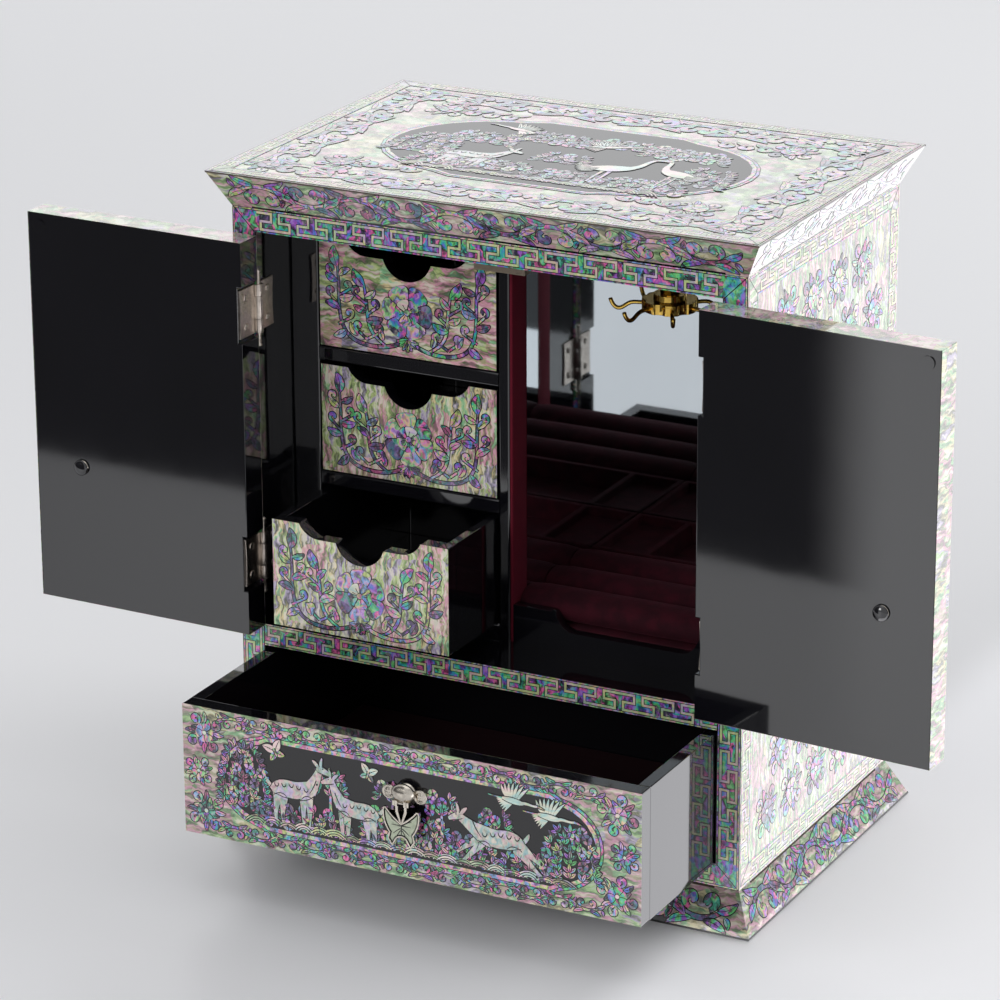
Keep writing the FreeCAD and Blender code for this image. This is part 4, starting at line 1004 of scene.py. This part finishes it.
def wide_front():
    """The wide drawer's front: a vine border and a dark field with deer, cranes and thickets."""
    face = Face("wide_drawer_front", FRONT)
    face.veneer("wide_drawer_veneer", "ground", 0.7)
    inlay = Inlay()
    wide, tall = face.width / 2, face.height / 2
    for side in (-1, 1):
        vine(Pen(inlay, y=side * (tall - 5.6)), face.width - 44, 9.0, 60 + side, 3.4)
        for level in (-1, 1):
            bloom(Pen(inlay, side * (wide - 13), level * (tall - 14), 20 * side), 4.8, 70 + side + 2 * level)
        bloom(Pen(inlay, side * (wide - 9), 0), 3.6, 77 + side)
    cartouche(Pen(inlay, level=4), wide - 25, tall - 12.5, 2.6)
    scene = Pen(inlay, level=6)
    for number, (x, y, across, high, trunk) in enumerate(WIDE_THICKETS):
        thicket(scene.on(x, y), across, high, 11 + number, trunk)
    deer(scene.on(-65, -3, 0, 1.8, rise=3))
    deer(scene.on(-29, -7, 0, 1.7, -1, 3))
    deer(scene.on(52, -7, 4, 1.9, -1, 3), True)
    crane(scene.on(60, 18, -12, 1.45, rise=3))
    crane(scene.on(80, 13, -10, 1.5, rise=3))
    moth(scene.on(-76, 19, 25, 1.4, rise=3))
    moth(scene.on(-22, 17, -15, 1.2, rise=3))
    bank(scene.on(-46, -22, rise=3), 92, 6, 18)
    bank(scene.on(46, -22, rise=3), 92, 6, 19)
    inlay.lay("wide_drawer_inlay", face)


# Branches of the small drawers' scroll: stems by points and half widths, leaves by place, way,
# length and half width, and curls by place and winding.
BRANCH_STEMS = (
    (
        [(0, -20), (8, -25), (22, -27), (37, -23), (41, -8), (40, 6), (41, 17)],
        [0.9, 0.9, 0.9, 0.8, 0.7, 0.6, 0.4],
    ),
    (
        [(13, -24.5), (22, -20), (24, -9), (24, 2), (26, 9)],
        [0.5, 0.8, 0.7, 0.6, 0.4],
    ),
)
BRANCH_LEAVES = (
    (40, -8, 20, 9, 3.0), (40, -2, 165, 9, 3.0), (41, 7, 35, 8, 2.6), (40, 10, 150, 8, 2.4),
    (41, 15, 82, 11, 4.0), (24, -12, 160, 10, 3.4), (24, -7, 25, 8, 2.6), (25, 0, 140, 8, 2.6),
    (25, 6, 62, 11, 4.0), (36, -19, -35, 9, 3.0), (29, -21, 60, 8, 2.8), (14, -22, 70, 7, 2.2),
)
BRANCH_CURLS = (
    (45, 1, 1), (35, 5, -1), (45, 13, 1), (34, -10, -1),
    (29, -16, 1), (19, -3, -1), (30, 3, 1), (17, -16, -1),
)


def small_front(node, ground, seed):
    """A small drawer's front: a peony on a branching scroll."""
    pick = random.Random(seed)
    face = Face(node, FRONT)
    face.veneer(node + "_veneer", ground, 0.8)
    inlay = Inlay()
    pen = Pen(inlay)
    for side in (-1, 1):
        arm = pen.on(0, 0, 0, 1.0, side)
        for points, widths in BRANCH_STEMS:
            arm.line(pick.choice(("shade", "rose", "violet")), points, widths)
        for x, y, turn, long, wide in BRANCH_LEAVES:
            hue = pick.choice(SHELLS)
            turned = turn + pick.uniform(-9, 9)
            arm.leaf(hue, x, y, turned, long, wide, pick.choice((-0.2, 0.2)), 1)
        for x, y, way in BRANCH_CURLS:
            stem = 41 if x > 32 else 24
            stalk = [(stem, y - 6.5), ((x + stem) / 2, y - 4.6), (x, y - 2.6)]
            arm.line(pick.choice(SHELLS), stalk, [0.5, 0.6, 0.5])
            arm.curl(pick.choice(SHELLS), x, y, 2.6, 270, 0.8, way, 0.9, 1)
        for turn in (-12, -38, -64, -84):
            arm.leaf(pick.choice(SHELLS), 0, -19.5, turn, 7, 1.7, -0.15, 2)
    hues = ["blue", "rose", "violet", "green", "shade", "rose", "blue"]
    pick.shuffle(hues)
    pen.flower(hues[:6], "ink", 0, -5, 13.5, pick.uniform(0, 70), 4, 0.86)
    pen.flower(["rose", "pale", "violet", "rose", "green"], "blue", 0, -5, 6.5, pick.uniform(0, 70), 7, 0.9)
    for number in range(9):
        stamen = [tuple(ray(40 * number) * reach - Vector((0, 5))) for reach in (1.6, 3.0, 4.6)]
        pen.engrave(stamen, [0.1, 0.14, 0.22], 10)
    inlay.lay(node + "_peony", face)


# How round the velvet's edges are, and how the rings' rolls are spaced and sized, in metres.
VELVET_EDGE = 0.0008
ROLL_PITCH = 0.0285
ROLL_DEPTH = 0.024
ROLL_STEPS = 16


def soft_board(node, finish):
    """A velvet-covered board: the solid's form with rounded edges."""
    form = copy_of(node)
    sharp = [e for e in form.edges if len(e.link_faces) == 2 and e.calc_face_angle(0.0) > 0.6]
    bmesh.ops.bevel(
        form, geom=sharp, offset=VELVET_EDGE, segments=3, profile=0.5, affect="EDGES",
        material=-1, clamp_overlap=True,
    )
    bmesh.ops.recalc_face_normals(form, faces=form.faces[:])
    piece = put(node + "_pile", form, BODY[node], "burgundy_velvet", finish, smooth=True)
    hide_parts(node)


def ring_roll(name, low, high, crown):
    """A stuffed roll with a round top and rounded ends, between two corners of its room."""
    form = bmesh.new()
    long, deep, tall = high - low
    bmesh.ops.create_circle(form, segments=32, radius=0.5, cap_ends=True)
    bmesh.ops.rotate(form, verts=form.verts, cent=(0, 0, 0), matrix=Matrix.Rotation(math.pi / 2, 3, "Y"))
    for step in range(ROLL_STEPS):
        ends = [f for f in form.faces if len(f.verts) > 4 and all(v.co.x > step - 0.1 for v in f.verts)]
        grown = bmesh.ops.extrude_face_region(form, geom=ends)
        moved = [v for v in grown["geom"] if isinstance(v, bmesh.types.BMVert)]
        bmesh.ops.translate(form, verts=moved, vec=(1, 0, 0))
        bmesh.ops.delete(form, geom=ends, context="FACES_ONLY")
    caps = [f for f in form.faces if len(f.verts) > 4]
    bmesh.ops.poke(form, faces=caps)
    for v in form.verts:
        share = v.co.x / ROLL_STEPS
        end = min(share, 1 - share) * long / (tall * 0.3)
        round_off = math.sqrt(max(0.0, 1 - (1 - min(1.0, end)) ** 2)) if end < 1 else 1.0
        full = 0.9 + 0.1 * round_off + crown * math.sin(math.pi * share) / tall
        x = low.x + long * share
        y = (low.y + high.y) / 2 + v.co.y * deep * full
        z = low.z + tall * (0.5 + v.co.z * full)
        v.co = (x, y, min(max(z, low.z), high.z + crown))
    bmesh.ops.remove_doubles(form, verts=form.verts, dist=SAME)
    bmesh.ops.recalc_face_normals(form, faces=form.faces[:])
    # The rolls take the velvet darkened with painted shade.
    piece = put(name, form, "case", "burgundy_velvet", "velvet_painted_shade", smooth=True)
    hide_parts("ring_rolls")


def velvet_pieces():
    """The tray, the strips and the lining, and three rolls for rings."""
    # The tray takes the velvet darkened with painted shade, the lining the darkest painted shade, and the
    # strips the lighter copy.
    for node, finish in (
        ("velvet_tray", "velvet_painted_shade"), ("left_velvet_strip", "velvet"), ("right_velvet_strip", "velvet"),
        ("wide_drawer_lining", "lining_painted_shade"),
    ):
        soft_board(node, finish)
    low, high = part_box("ring_rolls")
    for number, label in enumerate(("front", "middle", "rear")):
        start = Vector((low.x, low.y + ROLL_PITCH * number, low.z))
        end = Vector((high.x, start.y + ROLL_DEPTH, high.z))
        ring_roll("ring_roll_" + label, start, end, sizes().roll_crown)


def lathe(profile):
    """A turned form about +Z from its outline in mm, which starts and ends on the axis."""
    form = bmesh.new()
    points = [form.verts.new((radius * MM, 0.0, height * MM)) for radius, height in profile]
    lines = [form.edges.new(pair) for pair in zip(points, points[1:])]
    bmesh.ops.spin(
        form, geom=points + lines, cent=(0, 0, 0), axis=UP, angle=math.tau, steps=28, use_merge=True
    )
    bmesh.ops.remove_doubles(form, verts=form.verts, dist=SAME / 10)
    bmesh.ops.recalc_face_normals(form, faces=form.faces[:])
    return form


def turned_piece(name, profile, place, body, slot, finish, cross=0.0):
    """A lathe form in its place, with a cross sunk into its head where the cross's reach is given in mm."""
    form = lathe(profile)
    top = max(v.co.z for v in form.verts)
    for v in form.verts:
        beside = min(abs(v.co.x), abs(v.co.y))
        if beside < 0.05 * MM and v.co.xy.length < cross * MM and v.co.z > top * 0.4:
            v.co.z -= 0.5 * MM
    bmesh.ops.transform(form, matrix=place, verts=form.verts)
    put(name, form, body, slot, finish, smooth=True)


# Outlines of turned pieces, by radius and height in mm.
SCREW = (
    (0, 0), (2.1, 0), (2.1, 0.2), (1.8, 0.44), (1.5, 0.54), (1.1, 0.64), (0.7, 0.7), (0.3, 0.73), (0, 0.73),
)
FINIAL = ((0, 0), (1.5, 0), (1.55, 0.4), (0.9, 0.9), (1.5, 1.7), (1.55, 2.3), (0.9, 3.0), (0, 3.4))
ROSETTE = (
    (0, 0), (3.7, 0), (3.9, 0.3), (3.8, 0.7), (3.3, 0.9), (2.8, 0.6), (2.4, 0.6), (2.2, 0.9), (1.6, 1.25),
    (1.1, 1.35), (0.6, 1.4), (0, 1.4),
)
DOME = ((0, 0), (4.6, 0), (4.5, 0.8), (4.0, 1.7), (3.2, 2.5), (2.2, 3.0), (1.1, 3.25), (0, 3.3))
CAP = ((0, 0), (4.3, 0), (4.2, 0.5), (3.4, 1.2), (2.0, 1.7), (0, 1.9))


# Half the length of a screw's cross, in mm.
CROSS = 1.7

# Where the parts of a pull sit, in metres: the seat behind and above the swing's axis, the dome up
# and out from the seat, and the rosettes beside and out from it.
SEAT_BACK = 0.0056
SEAT_RISE = 0.0036
DOME_UP = 0.0013
DOME_OUT = 0.0037
ROSETTE_ASIDE = 0.00895
ROSETTE_OUT = 0.0019


# Where the parts of a hinge sit, in metres: each hinge above or below its door's middle, its screws
# along and out from the pin and on the leaf's face, and the ends of its pin.
HINGE_LEVEL = 0.06775
SCREW_UP = 0.0078
SCREW_OUT = 0.0108
LEAF_FACE = 0.00085
PIN_END = 0.0178


def hinge_fittings():
    """Screws in both leaves of each hinge, and finials on the ends of its pin."""
    for side, sign in (("left", 1), ("right", -1)):
        joint = JOINTS[side + "_door_hinge"]
        axis = Vector(joint["pos_m"])
        opened = Matrix.Rotation(-math.radians(joint["range_deg"][0]) * joint["axis"][2], 3, "Z")
        for where in (-1, 1):
            middle = axis + Vector((0.0, 0.0, where * HINGE_LEVEL))
            for leaf, swing, body, across in (
                ("frame", Matrix.Identity(3), "case", -sign), ("door", opened, side + "_door", sign),
            ):
                outward = swing @ Vector((-across, 0.0, 0.0))
                for up in (-1, 1):
                    spot = middle + swing @ Vector((across * LEAF_FACE, SCREW_OUT, up * SCREW_UP))
                    place = placing(spot, UP, outward)
                    name = "%s_%s_screw_%d" % (side, leaf, 3 + where + (up + 1) // 2)
                    turned_piece(name, SCREW, place, body, "nickel", "nickel", CROSS)
            for up in (-1, 1):
                place = placing(middle + UP * up * PIN_END, Vector((1, 0, 0)), UP * up)
                name = "%s_finial_%d" % (side, 3 + where + (up + 1) // 2)
                turned_piece(name, FINIAL, place, "case", "nickel", "nickel")


def pull_fittings():
    """A dome and two rosettes on each pull, its butterfly, and the cap on a door pull's screw inside."""
    for owner in ("wide_drawer", "left_door", "right_door"):
        joint = JOINTS[owner + "_pull_swing"]
        outward = UP.cross(Vector(joint["axis"])).normalized()
        across = UP.cross(outward)
        seat = Vector(joint["pos_m"]) - outward * SEAT_BACK + UP * SEAT_RISE
        dome = seat + UP * DOME_UP + outward * DOME_OUT
        place = placing(dome, UP, outward) @ Matrix.Diagonal((1.45, 1.12, 1.1, 1.0))
        turned_piece(owner + "_pull_dome", DOME, place, owner, "antique_silver", "silver")
        for side in (-1, 1):
            spot = seat + across * side * ROSETTE_ASIDE + outward * ROSETTE_OUT
            name = "%s_pull_rosette_%d" % (owner, (side + 3) // 2)
            turned_piece(name, ROSETTE, placing(spot, UP, outward), owner, "antique_silver", "silver", CROSS)
        butterfly(owner, outward)
    for side in ("left", "right"):
        face = Face(side + "_door", FRONT)
        seat = Vector(JOINTS[side + "_door_pull_swing"]["pos_m"])
        away = (face.centre - seat).dot(face.normal)
        spot = seat + face.normal * (away + 0.0009) + UP * SEAT_RISE
        place = placing(spot, UP, face.normal)
        turned_piece(side + "_door_screw_cap", CAP, place, side + "_door", "black_lacquer", "lacquer")


# A butterfly's rings from its rim in: width, step out and material, in metres.
BUTTERFLY_RINGS = ((0.0007, 0.0, 0), (0.0002, -0.0006, 1), (0.0003, 0.0, 1), (0.0002, 0.0003, 2))

# The lines on one wing of a butterfly, in mm from its middle.
WING_LINES = (
    [(0.6, 2.6), (4, 5.2), (7.6, 8.2)],
    [(0.7, 1.6), (4.2, 3.2), (7.2, 4.6)],
    [(0.7, 0.4), (4, 0.8), (6.6, 0.6)],
    [(0.6, -1.2), (3.4, -2.8), (5.4, -5.0)],
    [(0.5, -2.4), (2.2, -4.6), (4.0, -8.0)],
)


def butterfly(owner, outward):
    """The butterfly's solid with a raised rim, a dark groove and a field with engraved lines."""
    node = owner + "_pull_butterfly"
    form = copy_of(node)
    front = max((f for f in form.faces if f.normal.dot(outward) > 0.9), key=lambda f: f.calc_area())
    for wide, deep, material in BUTTERFLY_RINGS:
        ring = bmesh.ops.inset_region(form, faces=[front], thickness=wide, depth=deep, use_even_offset=True)
        for face in ring["faces"]:
            face.material_index = material
    front.material_index = 2
    middle = outward * front.calc_center_median().dot(outward)
    for axis in (UP, UP.cross(outward)):
        reach = [corner.co.dot(axis) for corner in front.verts]
        middle += axis * (min(reach) + max(reach)) / 2
    piece = put(node + "_dressed", form, owner + "_butterfly", "antique_silver", "silver", "ink", "field")
    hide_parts(node)
    face = Face(node, outward)
    face.centre = middle
    inlay = Inlay()
    pen = Pen(inlay, scale=0.85)
    pen.engrave([(0, 3.4), (0, -1), (0, -5)], [0.3, 0.45, 0.2])
    for side in (-1, 1):
        wing = pen.on(0, 0, 0, 1.0, side)
        for points in WING_LINES:
            wing.engrave(points, [0.3, 0.26, 0.12])
    inlay.lay(owner + "_butterfly_lines", face, "antique_silver", lift=0.00003, body=owner + "_butterfly")


# How many hooks there are, the first one's angle in degrees, and how high the rods' level is over
# the hooks' lowest point, in metres.
HOOK_COUNT = 7
FIRST_HOOK = 143.9
HOOK_LEVEL = 0.0045

# A hook's course: distance from the spindle and height over the rods' level, in mm.
HOOK_ROUTE = (
    (12.0, 0.0), (16.0, 0.0), (19.5, 0.2), (22.5, -1.2),
    (25.5, -3.9), (28.8, -3.6), (30.6, -0.6), (31.2, 1.3),
)


def hooks():
    """The carousel's hooks as smooth rods that dip and rise to their tips."""
    low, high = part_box("carousel_plate")
    middle = (low + high) / 2
    middle.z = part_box("carousel_hooks")[0].z + HOOK_LEVEL
    line = new_curve("hooks")
    line.bevel_depth = sizes().rod
    line.bevel_resolution = 4
    line.use_fill_caps = True
    for number in range(HOOK_COUNT):
        outward = ray(FIRST_HOOK + 360 * number / HOOK_COUNT).to_3d()
        stroke(line, [middle + (outward * reach + UP * rise) * MM for reach, rise in HOOK_ROUTE])
    form = bmesh.new()
    mesh = meshed(line)
    form.from_mesh(mesh)
    bpy.data.meshes.remove(mesh)
    bmesh.ops.remove_doubles(form, verts=form.verts, dist=SAME / 10)
    bmesh.ops.recalc_face_normals(form, faces=form.faces[:])
    piece = put("hook_rods", form, "carousel", "carousel_brass", "brass", smooth=True)
    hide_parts("carousel_hooks")


# Stage.


def sheet(name, place, finish):
    """A flat piece of the stage: a square of two metres, in the place and size of a matrix."""
    form = bmesh.new()
    bmesh.ops.create_grid(form, x_segments=4, y_segments=4, size=1.0)
    mesh = bpy.data.meshes.new(name)
    form.to_mesh(mesh)
    form.free()
    mesh.materials.append(finish)
    item = bpy.data.objects.new(name, mesh)
    item.matrix_world = place
    bpy.context.scene.collection.objects.link(item)
    return item


def floor_and_world():
    """The pale floor, painted lighter towards the back where the window's light falls, and the even light of
    the room.
    """
    paint = Paint("studio_floor")
    cloudy = paint.noise(0.0015, 2.0)
    tint = paint.mix(cloudy, tone("dededf"), tone("eaeaec"))
    # Painted light: the floor turns lighter towards the back, standing in for the window's light that falls
    # there.
    depth = paint.add("ShaderNodeSeparateXYZ", {}, {"Vector": paint.place}, "Y")
    tint = paint.mix(depth.above(40.0, 260.0), tint, tone("fcfcfd"))
    sheet("studio_floor", Matrix.Scale(7.0, 4), paint.finish(Base_Color=tint, Roughness=0.32 + cloudy * 0.06))
    world = bpy.data.worlds.new("studio")
    world.use_nodes = True
    world.node_tree.nodes["Background"].inputs["Color"].default_value = tone("f4f5f8")
    world.node_tree.nodes["Background"].inputs["Strength"].default_value = 0.62
    bpy.context.scene.world = world


def cards():
    """Two cards that only mirrors see: the dark room in front, and daylight on the table's right."""
    inward = Vector((0, 1, 0))
    for name, place, half_wide, half_tall, strength in (
        ("dark_room", placing(Vector((-1.535, -0.70, 0.75)), UP, inward), 1.5, 0.75, 0.06),
        ("daylight_on_table", placing(Vector((1.1, 0.8, 0.003)), inward, UP), 1.0, 1.2, 2.0),
    ):
        paint = Paint(name)
        along = paint.add("ShaderNodeSeparateXYZ", {}, {"Vector": paint.place})
        dim = along.sum("ABSOLUTE", along).above(960.0, 1000.0)
        glow = paint.finish(
            Base_Color=tone("000000"), Specular_IOR_Level=0.0, Roughness=0.9, Emission_Color=tone("fbfbff"),
            Emission_Strength=strength, Alpha=1 - dim,
        )
        card = sheet(name, place @ Matrix.Diagonal((half_wide, half_tall, 1.0, 1.0)), glow)
        for seen in ("camera", "diffuse", "shadow", "transmission"):
            setattr(card, "visible_" + seen, False)


# The lamps by name, place, width, height and radiance. All look at the chest's middle.
LAMPS = (
    ("window_right", (2.5, 1.1, 0.7), 1.8, 1.3, 4.5),
    ("window_back", (-1.5, 3.2, 1.5), 3.2, 1.3, 0.7),
    ("fill_front", (-1.2, -2.7, 1.3), 1.6, 1.2, 3.9),
    ("overhead", (0.2, -0.3, 2.6), 2.2, 1.8, 0.4),
)
CHEST_MIDDLE = Vector((0.0, -0.15, 0.2))


def lamps():
    """The soft lamps round the chest."""
    for name, spot, wide, tall, radiance in LAMPS:
        lamp = bpy.data.lights.new(name, "AREA")
        lamp.shape = "RECTANGLE"
        lamp.size = wide
        lamp.size_y = tall
        lamp.energy = 4 * wide * tall * radiance
        holder = bpy.data.objects.new(name, lamp)
        holder.location = spot
        holder.rotation_euler = (CHEST_MIDDLE - Vector(spot)).to_track_quat("-Z", "Y").to_euler()
        bpy.context.scene.collection.objects.link(holder)


# The photo's camera: the point it looks at in mm, its turn, rise and roll in degrees, its distance
# in metres and its lens in mm.
CAMERA_TARGET = (8.15, -200.89, 210.66)
CAMERA_ANGLES = (27.37, 19.54, -0.24)
CAMERA_DISTANCE = 2.23342
CAMERA_LENS = 158.02


def camera():
    """The camera as it stood for the photo."""
    scene = bpy.context.scene
    eye = bpy.data.cameras.new("camera")
    eye.lens = CAMERA_LENS
    eye.sensor_width = 36.0
    eye.clip_start, eye.clip_end = 0.05, 40.0
    turn, rise, roll = (math.radians(a) for a in CAMERA_ANGLES)
    back = Vector((math.sin(turn) * math.cos(rise), -math.cos(turn) * math.cos(rise), math.sin(rise)))
    right = UP.cross(back).normalized()
    rolled = right * math.cos(roll) + back.cross(right) * math.sin(roll)
    pose = Matrix([rolled, back.cross(rolled), back]).transposed().to_4x4()
    pose.translation = Vector(CAMERA_TARGET) * MM + back * CAMERA_DISTANCE
    holder = bpy.data.objects.new("camera", eye)
    holder.matrix_world = pose
    scene.collection.objects.link(holder)
    scene.camera = holder


# Operators.


class ChestStage(bpy.types.Operator):
    """Makes the floor, the lamps and the camera"""

    bl_idname = "chest.stage"
    bl_label = "Stage"

    def execute(self, context):
        context.scene.view_settings.view_transform = "Standard"
        floor_and_world()
        cards()
        lamps()
        camera()
        return {"FINISHED"}


class ChestFinishes(bpy.types.Operator):
    """Makes the materials and gives them to the solids"""

    bl_idname = "chest.finishes"
    bl_label = "Finishes"

    def execute(self, context):
        FINISH.update(make_finishes(context.scene.chest_colours))
        finish_solids()
        return {"FINISHED"}


class ChestCase(bpy.types.Operator):
    """Lays the inlay of the case: front fret, sides, back, mouldings and lid"""

    bl_idname = "chest.case"
    bl_label = "Case inlay"

    def execute(self, context):
        case_frame()
        for side, outward in (("front", FRONT), ("back", BACK), ("left", LEFT), ("right", RIGHT)):
            flare("cap_" + side, outward, 20 + len(side))
            flare("plinth_" + side, outward, 30 + len(side))
        panel("left_side_panel", LEFT, "left_side", 100)
        panel("right_side_panel", RIGHT, "right_side", 100)
        panel("back_panel", BACK, "back", 200)
        lid()
        return {"FINISHED"}


class ChestDoors(bpy.types.Operator):
    """Lays the inlay of the doors' outer faces"""

    bl_idname = "chest.doors"
    bl_label = "Door inlay"

    def execute(self, context):
        door_outside("left_door", "left_door", 300)
        door_outside("right_door", "right_door", 320)
        return {"FINISHED"}


class ChestDrawers(bpy.types.Operator):
    """Lays the inlay of the drawer fronts"""

    bl_idname = "chest.drawers"
    bl_label = "Drawer inlay"

    def execute(self, context):
        wide_front()
        small_front("upper_drawer_front", "bright", 1)
        small_front("middle_drawer_front", "bright_tall", 2)
        small_front("lower_drawer_front", "bright_tall", 3)
        return {"FINISHED"}


class ChestVelvet(bpy.types.Operator):
    """Makes the velvet tray, lining, strips and ring rolls"""

    bl_idname = "chest.velvet"
    bl_label = "Velvet"

    def execute(self, context):
        velvet_pieces()
        return {"FINISHED"}


class ChestFittings(bpy.types.Operator):
    """Makes the hinge screws and finials, the pulls' domes and butterflies, and the carousel's hooks"""

    bl_idname = "chest.fittings"
    bl_label = "Metal fittings"

    def execute(self, context):
        hinge_fittings()
        pull_fittings()
        hooks()
        return {"FINISHED"}


OPERATORS = (ChestStage, ChestFinishes, ChestCase, ChestDoors, ChestDrawers, ChestVelvet, ChestFittings)


class ChestPanel(bpy.types.Panel):
    """Lists the steps and their settings"""

    bl_idname = "VIEW3D_PT_chest"
    bl_label = "Jewellery chest"
    bl_space_type = "VIEW_3D"
    bl_region_type = "UI"
    bl_category = "Chest"

    def draw(self, context):
        for group in (context.scene.chest_sizes, context.scene.chest_colours):
            for key in group.bl_rna.properties.keys():
                if key not in {"rna_type", "name"}:
                    self.layout.prop(group, key)
        for operator in OPERATORS:
            self.layout.operator(operator.bl_idname)


CLASSES = (ChestSizes, ChestColours) + OPERATORS + (ChestPanel,)


def register():
    for entry in CLASSES:
        bpy.utils.register_class(entry)
    bpy.types.Scene.chest_sizes = bpy.props.PointerProperty(type=ChestSizes)
    bpy.types.Scene.chest_colours = bpy.props.PointerProperty(type=ChestColours)


def unregister():
    del bpy.types.Scene.chest_colours
    del bpy.types.Scene.chest_sizes
    for entry in reversed(CLASSES):
        bpy.utils.unregister_class(entry)


def main():
    register()
    for operator in OPERATORS:
        group, name = operator.bl_idname.split(".")
        getattr(getattr(bpy.ops, group), name)()


if __name__ == "__main__":
    main()
